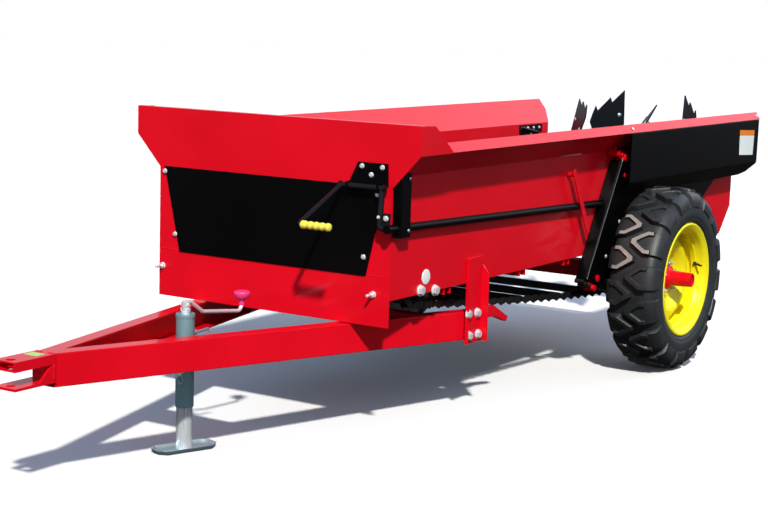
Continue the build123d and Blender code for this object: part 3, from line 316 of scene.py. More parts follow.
def lathe(bm, profile, base, axis, sides=32):
    """Solid of revolution from (radius, height) points; the profile's ends are closed on the axis."""
    place = Matrix.Translation(Vector(base)) @ turn_to(axis)
    side, up = place.col[0].xyz, place.col[1].xyz
    rings = []
    for radius, height in profile:
        centre = place @ Vector((0, 0, height))
        rings.append([bm.verts.new(centre)] if radius < 1e-6 else circle(bm, centre, side, up, radius, sides))
    for low, high in zip(rings, rings[1:]):
        join_rings(bm, low, high)
    return rings


def join_rings(bm, low, high):
    """Faces between two rings of vertices, either of which may be a single point."""
    count = max(len(low), len(high))
    for i in range(count):
        j = (i + 1) % count
        corners = []
        for ring, k in ((low, i), (low, j), (high, j), (high, i)):
            vertex = ring[k % len(ring)]
            if vertex not in corners:
                corners.append(vertex)
        bm.faces.new(corners)


def stack(bm, rings):
    """Solid through rings of vertices, closed at both ends; returns its last face."""
    bm.faces.new(rings[0])
    top = bm.faces.new(rings[-1])
    for low, high in zip(rings, rings[1:]):
        join_rings(bm, low, high)
    return top


def ring_solid(bm, profile, base, axis, sides=96):
    """Closed ring of revolution from (radius, height) points."""
    rings = lathe(bm, profile, base, axis, sides)
    join_rings(bm, rings[-1], rings[0])


def box(bm, low, high):
    """Block between two corners."""
    low, high = Vector(low), Vector(high)
    place = Matrix.Translation((low + high) / 2) @ Matrix.Diagonal((*(high - low), 1.0))
    bmesh.ops.create_cube(bm, size=1.0, matrix=place)


def rectangle(across, along):
    """Corners of a rectangle between two pairs of values, in order round it."""
    (u0, u1), (v0, v1) = across, along
    return ((u0, v0), (u1, v0), (u1, v1), (u0, v1))


def prism(bm, outline, to_space, depth):
    """Prism from a flat outline; to_space places (u, v, w) and depth is along w."""
    stack(bm, [[bm.verts.new(to_space @ Vector((u, v, w))) for u, v in outline] for w in (0, depth)])


def thin_sheet(bm, corners, side, face_x, lifts):
    """Thin plate between two lifts from a side's face; face_x gives its x at a height, corners are (y, z)."""
    stack(bm, [[bm.verts.new((side * (face_x(z) + lift), y, z)) for y, z in corners] for lift in lifts])


def rounded_path(points, radius, steps=5):
    """A path with its inner corners turned into arcs."""
    points = [Vector(p) for p in points]
    path = [points[0]]
    for before, corner, after in zip(points, points[1:], points[2:]):
        to_before, to_after = (before - corner).normalized(), (after - corner).normalized()
        half = to_before.angle(to_after) / 2
        reach = min(radius / math.tan(half), 0.45 * (before - corner).length, 0.45 * (after - corner).length)
        start, end = corner + to_before * reach, corner + to_after * reach
        for i in range(steps + 1):
            t = i / steps
            path.append(start * (1 - t) ** 2 + corner * 2 * t * (1 - t) + end * t * t)
    path.append(points[-1])
    return path


def sweep(bm, path, radii, sides=14):
    """Round bar along a path; radii is one radius, or a list with one for each point."""
    if not isinstance(radii, list):
        radii = [radii] * len(path)
    rings = []
    side = None
    for i, (point, radius) in enumerate(zip(path, radii)):
        along = (path[min(i + 1, len(path) - 1)] - path[max(i - 1, 0)]).normalized()
        if side is None:
            side = along.orthogonal().normalized()
        side = (side - along * side.dot(along)).normalized()
        rings.append(circle(bm, point, side, along.cross(side), radius, sides))
    stack(bm, rings)


def nut(bm, base, axis, size, height):
    """Hexagon on its washer, and the middle of its top; size is the thread's diameter."""
    washer = 0.18 * size
    frustum(bm, base, axis, 1.12 * size, 1.08 * size, washer)
    frustum(bm, base + axis * washer, axis, 0.94 * size, 0.94 * size, height, 6)
    return base + axis * (washer + height)


def bolt(bm, base, axis, size=10.0):
    """Hexagon bolt head on its washer."""
    axis = Vector(axis).normalized()
    top = nut(bm, Vector(base), axis, size, 0.5 * size)
    frustum(bm, top, axis, 0.92 * size, 0.74 * size, 0.12 * size, 6)


def stud(bm, base, axis, size=10.0, length=26.0):
    """Threaded end that stands out of its washer and nut."""
    axis, base, chamfer = Vector(axis).normalized(), Vector(base), 1.5
    nut(bm, base, axis, size, 0.78 * size)
    frustum(bm, base, axis, 0.5 * size, 0.5 * size, length - chamfer, 14)
    frustum(bm, base + axis * (length - chamfer), axis, 0.5 * size, 0.38 * size, chamfer, 14)


def dome(bm, base, axis, size=10.0):
    """Carriage bolt's round head."""
    height = 0.42 * size
    profile = [(size * math.cos(t), height * math.sin(t)) for t in (0.0, 0.3, 0.6, 0.9, 1.2)]
    lathe(bm, [(0.0, -0.5), (size, -0.5)] + profile + [(0.0, height)], base, axis, 18)


# ---------------- tyres
TREAD_HEIGHT = 22.0
LUGS_PER_ROW = 16
LUG_HALF = 46.0          # half a lug's length round the tyre
LUG_TIP_HALF = 9.0
LUG_TIP = -12.0          # how far its tip passes the middle
LUG_SLANT = 44.0         # where its sides begin to slant
LUG_END = 126.0          # its outer end, measured over the shoulder
LUG_FADE = 86.0          # where it begins to thin out
BAR_WIDTH = 17.0         # raised bar along a lug's tip
BAR_END = 66.0
LUG_FLOOR = 13.0         # height of a lug inside its bar
FIRST_LUG = math.radians(29.5)      # an outer lug's middle above the level line to the front
WEAR_AND_GLINT_LUGS = ((1, 0), (-1, 0), (-1, LUGS_PER_ROW - 1))    # row and number of the lugs painted light: worn, and lit by a painted sun glint
CARCASS = (
    # distance from the middle plane, radius: from the crown to the bead
    (0.0, 329.0), (34.0, 328.6), (62.0, 326.5), (79.0, 320.0), (90.0, 308.0), (96.0, 292.0),
    (98.5, 272.0), (98.5, 252.0), (95.5, 238.0), (90.5, 226.0), (84.5, 216.0),
)
BEAD = [(199.0, 82.0), (195.0, 78.0)]    # radius, distance from the middle plane: the tyre's foot in the rim
SIDEWALL_RIBS = ((229.0, 2.0, 4.0), (246.0, 1.0, 1.6), (284.0, 1.2, 1.8))    # radius, height, width


def smooth_line(points, steps):
    """Smooth line through points, as a list of Vectors."""
    points = [Vector(p) for p in points]
    ends = [points[0] * 2 - points[1]] + points + [points[-1] * 2 - points[-2]]
    line = []
    for p0, p1, p2, p3 in zip(ends, ends[1:], ends[2:], ends[3:]):
        for i in range(steps):
            t = i / steps
            square = (2 * p0 - 5 * p1 + 4 * p2 - p3) * t**2
            cube = (3 * p1 - p0 - 3 * p2 + p3) * t**3
            line.append(0.5 * (2 * p1 + (p2 - p0) * t + square + cube))
    line.append(points[-1])
    return line


def line_lengths(line):
    lengths = [0.0]
    for a, b in zip(line, line[1:]):
        lengths.append(lengths[-1] + (b - a).length)
    return lengths


CARCASS_LINE = smooth_line(CARCASS, 4)
CARCASS_LENGTHS = line_lengths(CARCASS_LINE)


def on_carcass(along, height):
    """(x, radius) of a point at a distance over the carcass from its crown, and a height above it."""
    side = -1 if along < 0 else 1
    reach = min(abs(along), CARCASS_LENGTHS[-1] - 0.01)
    k = 0
    while CARCASS_LENGTHS[k + 1] < reach:
        k += 1
    t = (reach - CARCASS_LENGTHS[k]) / (CARCASS_LENGTHS[k + 1] - CARCASS_LENGTHS[k])
    step = (CARCASS_LINE[k + 1] - CARCASS_LINE[k]).normalized()
    point = CARCASS_LINE[k].lerp(CARCASS_LINE[k + 1], t)
    normal = Vector((-step.y, step.x))
    if normal.y < 0:
        normal = -normal
    return side * (point.x + normal.x * height), point.y + normal.y * height


def lug_height(along, height):
    """A lug thins out as it runs down the tyre's shoulder."""
    fade = min(max((along - LUG_FADE) / (LUG_END - LUG_FADE), 0.0), 1.0)
    return height * (1.0 - 0.65 * fade * fade * (3.0 - 2.0 * fade))


def inset(outline, amount):
    """Outline moved inwards along its corners' middle directions."""
    count = len(outline)
    after = list(outline[1:]) + [outline[0]]
    area = sum(a[0] * b[1] - b[0] * a[1] for a, b in zip(outline, after))
    sign = 1 if area > 0 else -1
    moved = []
    for i in range(count):
        before, here, after = (Vector(outline[k % count]) for k in (i - 1, i, i + 1))
        a, b = (here - before).normalized(), (after - here).normalized()
        normal = Vector((-a.y - b.y, a.x + b.x)) * sign
        scale = 1.0 / max(0.4, 0.5 * normal.length_squared)
        moved.append(tuple(here + normal * amount * scale))
    return moved


def block_rings(bm, outline, levels, material_top=0):
    """Solid stacked from an outline at (inset, height) levels."""
    rings = [[bm.verts.new((u, v, height)) for u, v in inset(outline, amount)] for amount, height in levels]
    stack(bm, rings).material_index = material_top


def build_lug():
    """Vertices and faces of one lug in (along, round, height) space, cut fine enough to bend."""
    body = ((LUG_END, LUG_HALF), (LUG_SLANT, LUG_HALF), (LUG_TIP, LUG_TIP_HALF))
    body = body + tuple((u, -v) for u, v in reversed(body))
    inner = LUG_HALF - BAR_WIDTH
    bar_outer = ((BAR_END, LUG_HALF), (LUG_SLANT, LUG_HALF), (LUG_TIP, LUG_TIP_HALF))
    bar_inner = ((BAR_END, inner), (LUG_SLANT + 6.0, inner), (LUG_TIP + 26.0, 3.0))
    bar = bar_outer + tuple((u, -v) for u, v in reversed(bar_outer))
    bar = bar + tuple((u, -v) for u, v in bar_inner) + tuple(reversed(bar_inner))
    bm = bmesh.new()
    block_rings(bm, body, ((-3.5, -4.0), (-0.5, LUG_FLOOR - 3.0), (2.0, LUG_FLOOR)))
    block_rings(bm, bar, ((-3.0, -4.0), (0.0, TREAD_HEIGHT - 2.5), (2.2, TREAD_HEIGHT)), 1)
    for step in (-4, 8, 24, 40, 56, 68, 78, 87, 95, 103, 111, 119):
        cut(bm, (step, 0, 0), (1, 0, 0))
    for step in (-30, -15, 0, 15, 30):
        cut(bm, (0, step, 0), (0, 1, 0))
    return bm


def cut(bm, point, normal):
    """Split every face that a plane crosses."""
    bmesh.ops.bisect_plane(
        bm, geom=bm.verts[:] + bm.edges[:] + bm.faces[:], dist=1e-4, plane_co=point, plane_no=normal
    )


def mirrored(profile):
    """A profile of (radius, distance) points on the other side of the middle plane, in reverse order."""
    return [(r, -x) for r, x in reversed(profile)]


def tyre(side):
    """Tyre of one wheel, with its lugs; side is 1 on the machine's left."""
    bm = bmesh.new()
    half = with_ribs([(p.y, p.x) for p in CARCASS_LINE])
    ring_solid(bm, mirrored(half)[:-1] + half + BEAD + mirrored(BEAD), (0, 0, 0), LEFT_AXIS, 160)
    lug = build_lug()
    lug_mesh = bpy.data.meshes.new("lug")
    lug.to_mesh(lug_mesh)
    lug.free()
    pitch = 2 * math.pi / LUGS_PER_ROW
    for row in (1, -1):
        for i in range(LUGS_PER_ROW):
            middle = FIRST_LUG + pitch * (i + (0.0 if row > 0 else 0.5))
            add_lug(bm, lug_mesh, row, middle, (row, i) in WEAR_AND_GLINT_LUGS)
    bpy.data.meshes.remove(lug_mesh)
    bm.transform(Matrix.Translation(wheel_middle(side)) @ Matrix.Diagonal((side, 1, 1, 1)))
    return bm


def with_ribs(profile):
    """The sidewall with a rim guard and two fine ribs."""
    result = []
    for radius, x in profile:
        lift = sum(height * math.exp(-(((radius - r) / width) ** 2)) for r, height, width in SIDEWALL_RIBS)
        result.append((radius, x + lift))
    return result


def add_lug(bm, lug_mesh, row, middle, wear_and_glint):
    """Bend a copy of the lug onto the tyre at an angle round it."""
    start, first_face = len(bm.verts), len(bm.faces)
    bm.from_mesh(lug_mesh)
    bm.verts.ensure_lookup_table()
    bm.faces.ensure_lookup_table()
    # only the listed lugs get the light bar tops, which paint the sun's glint as well as wear
    if not wear_and_glint:
        for face in bm.faces[first_face:]:
            face.material_index = 0
    for vertex in bm.verts[start:]:
        along, round_it, height = vertex.co
        x, radius = on_carcass(along, lug_height(along, height) if height > 0 else height)
        turn = middle + round_it / TYRE_RADIUS
        vertex.co = Vector((row * x, -radius * math.cos(turn), radius * math.sin(turn)))


def build_tyres():
    for name, side in SIDES:
        piece("tyre_tread_" + name, tyre(side), "tyre", node="tyre_" + name, sharp=40.0, second="tread_wear_and_glint")


# ---------------- rims and hubs
RIM_FLANGE = [
    # radius, distance from the tyre's middle plane: the rolled edge, the same on both sides
    (209.0, 91.0), (214.0, 92.0), (218.0, 90.0), (219.0, 86.0),
    (217.0, 83.5), (209.0, 83.0), (196.0, 82.5), (193.0, 79.0),
]
RIM_INSIDE = [
    # the barrel's inner face, from its back edge to its front edge
    (206.0, -88.0), (193.0, -84.0), (188.0, -76.0), (187.0, -40.0), (187.0, 26.0), (177.0, 32.0),
    (176.0, 50.0), (186.0, 57.0), (188.0, 76.0), (193.0, 84.0), (206.0, 88.0),
]
DISC_PROFILE = [
    # radius, distance from the middle plane: the disc's outer face
    (28.5, 8.0), (74.0, 8.0), (84.0, 10.0), (112.0, 27.0), (122.0, 31.0), (132.0, 32.0),
    (142.0, 30.0), (150.0, 24.0), (163.0, 6.0), (170.0, 1.0), (188.0, 0.0),
]
DISC_GAUGE = 5.0
HUB_BOLTS = 5
HUB_BOLT_RADIUS = 57.0


def build_wheels():
    back = [(radius, x - DISC_GAUGE) for radius, x in reversed(DISC_PROFILE)]
    for name, side in SIDES:
        centre, out = wheel_middle(side), Vector((side, 0, 0))
        bm = bmesh.new()
        ring_solid(bm, RIM_FLANGE + mirrored(RIM_FLANGE) + RIM_INSIDE, centre, out, 128)
        ring_solid(bm, DISC_PROFILE + back, centre, out, 128)
        piece("rim_pressed_" + name, bm, "rim_yellow", node="rim_" + name, sharp=50.0)
        dressed("hub_" + name, "red_paint", edge=1.6)
        bm = bmesh.new()
        for i in range(HUB_BOLTS):
            turn = 2 * math.pi * (i + 0.25) / HUB_BOLTS
            spot = centre + out * 8.0 + HUB_BOLT_RADIUS * Vector((0, math.cos(turn), math.sin(turn)))
            stud(bm, spot, out, 11.0, 22.0)
        piece("hub_bolts_" + name, bm, "zinc_steel", "wheel_" + name)


# ---------------- apron chains
CHAIN_X = middle_mm("apron_chain_left").x
CHAIN_LINKS = 70
PITCH_RADIUS = 47.3
LINK_SIDE = (
    # along the link, out from the loop: the side bar's outline with its hook
    (-33.0, -6.0), (-33.0, 4.0), (-22.0, 8.0), (-11.0, 15.0), (-4.0, 13.0), (12.0, 7.0), (30.0, 6.0),
    (33.0, 0.0), (30.0, -6.0), (14.0, -8.0), (-4.0, -11.0), (-14.0, -11.0), (-24.0, -8.0),
)
BAR_GAUGE = 5.0


def chain_line():
    """Closed middle line of a chain as (y, z) points: top run, rear turn, sagging return, front turn."""
    front = middle_mm("idler_shaft")
    rear = middle_mm("apron_drive_shaft")
    lowest = box_mm("apron_chain_left")[0].z + 15.0
    top, bottom = front.z + PITCH_RADIUS, front.z - PITCH_RADIUS
    low_rear, low_front = WHEEL.y + 60.0, WHEEL.y - 60.0
    line = [(front.y + t * (rear.y - front.y), top) for t in steps(60)]
    line += [turn_point(rear, math.pi * t) for t in steps(24)]
    for t in steps(60):
        ease = t * t * (3.0 - 2.0 * t)
        line.append((rear.y + t * (low_rear - rear.y), bottom + ease * (lowest - bottom)))
    for t in steps(60):
        y = low_rear + t * (front.y - low_rear)
        sag = max(0.0, (low_front - y) / (low_front - front.y))
        line.append((y, lowest + sag**1.25 * (bottom - lowest)))
    line += [turn_point(front, math.pi * (1.0 + t)) for t in steps(24)]
    return [Vector(p) for p in line]


def steps(count):
    return [i / count for i in range(count)]


def turn_point(shaft, angle):
    return (shaft.y + PITCH_RADIUS * math.sin(angle), shaft.z + PITCH_RADIUS * math.cos(angle))


def link_places():
    """Place and direction of each link, at equal steps round the chain's line."""
    line = chain_line()
    line.append(line[0])
    lengths = line_lengths(line)
    places = []
    k = 0
    for i in range(CHAIN_LINKS):
        target = lengths[-1] * i / CHAIN_LINKS
        while lengths[k + 1] < target:
            k += 1
        t = (target - lengths[k]) / (lengths[k + 1] - lengths[k])
        places.append((line[k].lerp(line[k + 1], t), (line[k + 1] - line[k]).normalized()))
    return places


def build_chains():
    places = link_places()
    for name, side in SIDES:
        bm = bmesh.new()
        for point, along in places:
            out = Vector((0, -along.y, along.x))
            to_space = Matrix.Identity(4)
            to_space.col[0] = Vector((0, along.x, along.y, 0))
            to_space.col[1] = Vector((0, out.y, out.z, 0))
            to_space.col[2] = Vector((1, 0, 0, 0))
            for x in (side * CHAIN_X - 14.5, side * CHAIN_X + 14.5 - BAR_GAUGE):
                to_space.col[3] = Vector((x, point.x, point.y, 1))
                prism(bm, LINK_SIDE, to_space, BAR_GAUGE)
            to_space.col[3] = Vector((side * CHAIN_X - 15.0, point.x, point.y, 1))
            for u, v, radius in ((-12.0, 2.0, 8.0), (22.0, 0.0, 5.5)):
                base = to_space @ Vector((u, v, 0.0))
                frustum(bm, base, (1, 0, 0), radius, radius, 30.0, 12)
        piece("chain_links_" + name, bm, "chain_steel", node="apron_chain_" + name)


# ---------------- fasteners
def build_bolts(name, paint, rows, kind=bolt, body="chassis"):
    """One piece of like fasteners from rows of (place, axis, size)."""
    bm = bmesh.new()
    for place, axis, size in rows:
        kind(bm, place, axis, size)
    piece(name, bm, paint, body)


def both_sides(rows):
    """Rows of (place, axis, size) and their mirror images across the machine."""
    mirrored = [((-x, y, z), (-a, b, c), size) for (x, y, z), (a, b, c), size in rows]
    return list(rows) + mirrored


COVER_BOLTS = ((-436.0, 785.0), (-390.0, 578.0), (364.0, 580.0), (410.0, 778.0))   # x, z
BRACKET_BOLTS = ((352.0, 862.0), (427.0, 862.0), (387.0, 837.0))
BRACKET_FACE_Y = -6.3
PANEL_STUDS = (-445.0, 401.0)
PANEL_STUD_Z = 466.0
UPRIGHT_GAUGE = 6.0
UPRIGHT_BOLTS = ((478.0, 347.0), (538.0, 344.0), (488.0, 272.0), (547.0, 270.0))   # y, z


def build_fasteners():
    rows = [((x, COVER_FACE, z), FRONT_AXIS, 7.5) for x, z in COVER_BOLTS]
    rows += [((x, BRACKET_FACE_Y, z), FRONT_AXIS, 7.5) for x, z in BRACKET_BOLTS]
    build_bolts("front_bolts", "bright_steel", rows)
    bm = bmesh.new()
    for x in PANEL_STUDS:
        stud(bm, (x, 0.0, PANEL_STUD_Z), FRONT_AXIS, 10.0, 36.0)
    piece("panel_studs", bm, "bright_steel")
    rows = [((UPRIGHT_X + UPRIGHT_GAUGE, y, z), LEFT_AXIS, 15.0) for y, z in UPRIGHT_BOLTS]
    build_bolts("upright_bolts", "bright_steel", both_sides(rows))


def weld(bm, start, end, radius=3.5, pitch=5.0):
    """Bead with ripples between two points."""
    start, end = Vector(start), Vector(end)
    last = 2 * max(2, int((end - start).length / pitch))
    radii = [radius * (1.0 if i % 2 else 0.82) * (0.5 if i in (0, last) else 1.0) for i in range(last + 1)]
    sweep(bm, [start.lerp(end, i / last) for i in range(last + 1)], radii, 8)


# ---------------- hitch
HITCH_WEB = 141.0        # the web behind the hitch's front edge
BLANK_X = (-28.0, 20.0)  # blank plate on the upper tube
BLANK_Y = (97.0, 132.0)  # from the hitch's front edge


def build_hitch():
    bm = bmesh.new()
    half, top, low, rear = HITCH_HIGH.x, HITCH_HIGH.z, HITCH_LOW.z, HITCH_HIGH.y - 2.0
    web = HITCH_LOW.y + HITCH_WEB
    outline = rectangle(BLANK_X, [HITCH_LOW.y + step for step in BLANK_Y])
    prism(bm, outline, Matrix.Translation((0, 0, top - 0.2)), 0.7)
    piece("hitch_blank_plate", bm, "plate_green")
    bm = bmesh.new()
    for side in (1, -1):
        weld(bm, (side * half, web + 4.0, low + 10.0), (side * half, web + 4.0, top - 30.0))
        weld(bm, (side * (half - 2.0), rear, top - 1.0), (side * 10.0, rear, top - 1.0))
    weld(bm, (half - 9.0, web - 2.0, low + 10.0), (half - 9.0, web - 2.0, top - 30.0))
    piece("hitch_welds", bm, "red_paint")


# ---------------- jack
SLEEVE_RADIUS = 28.0
LEG_RADIUS = 24.7
JACK_SHOULDER = 415.0    # top of the sleeve under its cap
CRANK_PATH = (
    # y from the jack's axis, z: out of the cap, down, level and up to the knob
    (8.0, 446.0),
    (24.0, 446.0),
    (81.0, 409.0),
    (262.0, 386.5),
    (276.3, 400.0),
    (276.3, 424.0),
)


def build_jack():
    x, y = JACK.x, JACK.y
    low, shoulder = SLEEVE_LOW, JACK_SHOULDER
    bore = LEG_RADIUS + 0.5
    bm = bmesh.new()
    profile = [(0.0, shoulder - 12.0), (bore, shoulder - 12.0), (bore, low + 1.5), (bore + 0.9, low)]
    profile += [(SLEEVE_RADIUS - 0.9, low), (SLEEVE_RADIUS, low + 1.2), (SLEEVE_RADIUS, shoulder - 13.0)]
    profile += [(SLEEVE_RADIUS + 1.6, shoulder - 11.5), (SLEEVE_RADIUS + 1.6, shoulder - 2.0)]
    profile += [(SLEEVE_RADIUS, shoulder), (SLEEVE_RADIUS - 4.0, shoulder - 0.6), (0.0, shoulder - 1.2)]
    lathe(bm, profile, (x, y, 0), UP_AXIS, 56)
    piece("jack_tube", bm, "sleeve_steel", node="jack_sleeve")
    bm = bmesh.new()
    profile = [(0.0, shoulder - 3.0), (13.0, shoulder - 3.0), (13.0, shoulder + 5.0), (10.5, shoulder + 7.0)]
    profile += [(10.5, JACK_TOP - 24.0), (12.2, JACK_TOP - 22.0), (12.2, JACK_TOP - 3.0)]
    profile += [(9.5, JACK_TOP - 0.5), (0.0, JACK_TOP - 0.5)]
    lathe(bm, profile, (x, y, 0), UP_AXIS, 28)
    for side in (1, -1):
        bolt(bm, (x + side * 9.0, y, shoulder + 11.0), (side, 0, 0), 8.0)
        bolt(bm, (x + side * 11.0, y - 2.0, JACK_TOP - 12.0), (side, -0.3, 0), 6.0)
    piece("jack_fitting", bm, "bright_steel")

    leg_low, leg_high = (corner.z for corner in box_mm("jack_leg"))
    bm = bmesh.new()
    inner = LEG_RADIUS - 4.0
    profile = [(LEG_RADIUS - 0.8, leg_low), (LEG_RADIUS, leg_low + 1.0), (LEG_RADIUS, leg_high - 1.0)]
    profile += [(LEG_RADIUS - 1.0, leg_high), (inner, leg_high), (inner, leg_low)]
    ring_solid(bm, profile, (x, y, 0), UP_AXIS, 56)
    piece("jack_inner_tube", bm, "drawn_steel", node="jack_leg")
    bm = bmesh.new()
    beads, reach = 18, LEG_RADIUS + 0.6
    for k in range(beads):
        turn = 2 * math.pi * k / beads
        spot = Vector((x + reach * math.cos(turn), y + reach * math.sin(turn), leg_low + 1.0))
        ahead = Vector((-math.sin(turn), math.cos(turn), 0)) * 4.6
        weld(bm, spot - ahead, spot + ahead, 2.6)
    piece("jack_foot_weld", bm, "zinc_steel", "jack_leg")
    build_foot()
    build_crank()
    build_pull_pin()


FOOT_LENGTH = 210.0
FOOT_WIDTH = 88.0
FOOT_CUT = 26.0
FOOT_TURN = math.radians(-20.0)
FOOT_HEIGHT = 14.0


def build_foot():
    """Dish with a flared rim and cut corners under the jack."""
    wide, long = FOOT_WIDTH / 2, FOOT_LENGTH / 2
    outline = [(wide - FOOT_CUT, -long), (wide, -long + FOOT_CUT)]
    outline += [(wide, long - FOOT_CUT), (wide - FOOT_CUT, long)]
    outline += [(-u, v) for u, v in reversed(outline)]
    levels = ((9.0, 0.0), (7.0, 0.6), (1.2, FOOT_HEIGHT - 3.0), (0.2, FOOT_HEIGHT - 1.0), (0.8, FOOT_HEIGHT))
    levels += ((3.2, FOOT_HEIGHT), (4.4, FOOT_HEIGHT - 1.2), (10.0, 5.0), (13.0, 4.0))
    bm = bmesh.new()
    block_rings(bm, outline, levels)
    bm.transform(Matrix.Translation((JACK.x, JACK.y, GROUND_Z)) @ Matrix.Rotation(FOOT_TURN, 4, "Z"))
    piece("jack_foot_dish", bm, "zinc_steel", node="jack_foot", sharp=60.0)


def build_crank():
    """Crank rod with rounded bends, and its knob."""
    bm = bmesh.new()
    path = [(JACK.x, JACK.y + step, z) for step, z in CRANK_PATH]
    sweep(bm, rounded_path(path, 24.0, 8), 6.3, 18)
    piece("crank_rod", bm, "bright_steel", node="jack_crank")
    low, high = box_mm("jack_knob")
    centre, radius = (low + high) / 2, (high.x - low.x) / 2
    bm = bmesh.new()
    profile = [(0.0, low.z - 14.0), (8.5, low.z - 14.0), (9.5, low.z - 12.0), (9.0, low.z)]
    profile += [(11.0, low.z + 4.0), (0.72 * radius, low.z + 9.0), (0.93 * radius, low.z + 15.0)]
    profile += [(radius, high.z - 9.0), (radius, high.z - 6.0), (0.93 * radius, high.z - 2.0)]
    profile += [(0.8 * radius, high.z), (0.5 * radius, high.z - 1.5), (0.0, high.z - 2.5)]
    lathe(bm, profile, (centre.x, centre.y, 0), UP_AXIS, 40)
    piece("crank_knob", bm, "knob_red", node="jack_knob", sharp=60.0)


PULL_PIN_Z = 350.0
PULL_PIN_PATH = (
    # x, y from the jack's axis, z from the pin's height
    (0.0, 44.0, 0.0), (0.0, 72.0, 0.0), (0.0, 110.0, 2.0), (6.0, 116.0, -8.0),
)
RING_Z = 216.0
RING_RADIUS = 13.0
RING_WIRE = 2.2


def build_pull_pin():
    """Spring pin that locks the jack in its plate, with its bent handle, and the ring on the sleeve."""
    bm = bmesh.new()
    frustum(bm, (JACK.x, JACK.y + SLEEVE_RADIUS - 2.0, PULL_PIN_Z), REAR_AXIS, 9.0, 9.0, 22.0)
    path = [(x, JACK.y + y, PULL_PIN_Z + z) for x, y, z in PULL_PIN_PATH]
    sweep(bm, rounded_path(path, 14.0, 6), 4.5, 12)
    piece("jack_pull_pin", bm, "zinc_steel")
    bm = bmesh.new()
    centre = Vector((JACK.x + 9.0, JACK.y - SLEEVE_RADIUS - 3.0, RING_Z))
    rings = []
    for k in range(24):
        turn = 2 * math.pi * k / 24
        out = Vector((0.85 * math.cos(turn), -0.25 * math.cos(turn), math.sin(turn)))
        rings.append(circle(bm, centre + out * RING_RADIUS, out, Vector((0.2, -1, 0)), RING_WIRE, 8))
    for a, b in zip(rings, rings[1:] + rings[:1]):
        join_rings(bm, a, b)
    frustum(bm, centre + Vector((-4.0, 8.0, 12.0)), FRONT_AXIS, 5.0, 4.0, 12.0, 12)
    piece("jack_ring", bm, "zinc_steel")


# ---------------- controls
LEVER_ROD = 8.0
PIVOT_RADIUS = 9.0
PIVOT_ENDS = (290.0, 440.0)      # x of the lever's two arms
GRIP_BUMPS = 4


def build_controls():
    """Hand lever with bent arms, and its grooved grip."""
    pivot_y, pivot_z = LEVER_HIGH.y - PIVOT_RADIUS, LEVER_HIGH.z - PIVOT_RADIUS
    grip_x, grip_y = LEVER_LOW.x + LEVER_ROD, LEVER_LOW.y + LEVER_ROD
    grip_low, grip_high = box_mm("lever_grip")
    grip_z = (grip_low.z + grip_high.z) / 2
    right, left = PIVOT_ENDS
    bm = bmesh.new()
    reach = left - right + 12.0
    frustum(bm, (right - 6.0, pivot_y, pivot_z), LEFT_AXIS, PIVOT_RADIUS, PIVOT_RADIUS, reach, 28)
    path = [(right, pivot_y, pivot_z), (grip_x, grip_y, grip_z), (grip_high.x - 8.0, grip_y, grip_z)]
    sweep(bm, rounded_path(path, 16.0, 7), LEVER_ROD, 18)
    wrist_y, tube_z = TUBE_LOW.y + 14.0, TUBE_HIGH.z - 13.5
    path = [(left, pivot_y, pivot_z), (left, wrist_y, tube_z), (LEVER_HIGH.x, wrist_y, tube_z)]
    sweep(bm, rounded_path(path, 14.0, 7), LEVER_ROD + 1.0, 18)
    for x in (right - 6.0, left + 6.0):
        frustum(bm, (x - 4.0, pivot_y, pivot_z), LEFT_AXIS, 12.0, 12.0, 8.0, 28)
    box(bm, (left + 9.0, wrist_y - 5.0, tube_z - 9.0), (left + 38.0, wrist_y + 3.0, tube_z + 48.0))
    # the rods take the lighter black, painted light for the sun on them
    piece("lever_rods", bm, "rod_black_lit", node="hand_lever")
    rows = [((left, wrist_y - LEVER_ROD, tube_z + 35.0), FRONT_AXIS, 5.0)]
    rows.append(((left + 26.0, wrist_y - 5.0, tube_z + 33.0), FRONT_AXIS, 8.0))
    rows.append(((right - 10.0, pivot_y, pivot_z), (-1, 0, 0), 6.0))
    build_bolts("lever_bolts", "bright_steel", rows)

    bm = bmesh.new()
    radius = (grip_high.z - grip_low.z) / 2
    length = grip_high.x - grip_low.x
    profile = [(0.0, 0.0), (radius - 2.5, 0.0), (radius, 2.5), (radius, 9.0)]
    start, end = 12.0, length - 8.0
    for k in range(1, 8 * GRIP_BUMPS):
        t = k / (8 * GRIP_BUMPS)
        lift = 1.3 * math.cos(2 * math.pi * GRIP_BUMPS * t)
        profile.append((radius - 1.3 + lift, start + t * (end - start)))
    profile += [(radius, end), (radius - 1.0, length - 3.0), (radius - 4.0, length), (0.0, length)]
    lathe(bm, profile, (grip_low.x, grip_y, grip_z), LEFT_AXIS, 36)
    piece("grip_moulded", bm, "grip_yellow", node="lever_grip", sharp=60.0)


# ---------------- front panel and guide post
CREASE_Z = 525.0
CREASE_ENDS = ((-458.0, -384.0), (384.0, 447.0))
POST_BOLTS = ((55.0, 829.0), (60.0, 669.0))    # y, z


def build_front():
    bm = bmesh.new()
    for start, end in CREASE_ENDS:
        sweep(bm, [Vector((start, 1.2, CREASE_Z)), Vector((end, 1.2, CREASE_Z))], 2.2, 12)
    piece("panel_crease", bm, "red_paint")
    rows = []
    for y, z in POST_BOLTS:
        rows.append(((POST_HIGH.x, min(y, POST_HIGH.y - 12.0), z), LEFT_AXIS, 5.5))
    build_bolts("post_bolts", "zinc_steel", rows, dome)


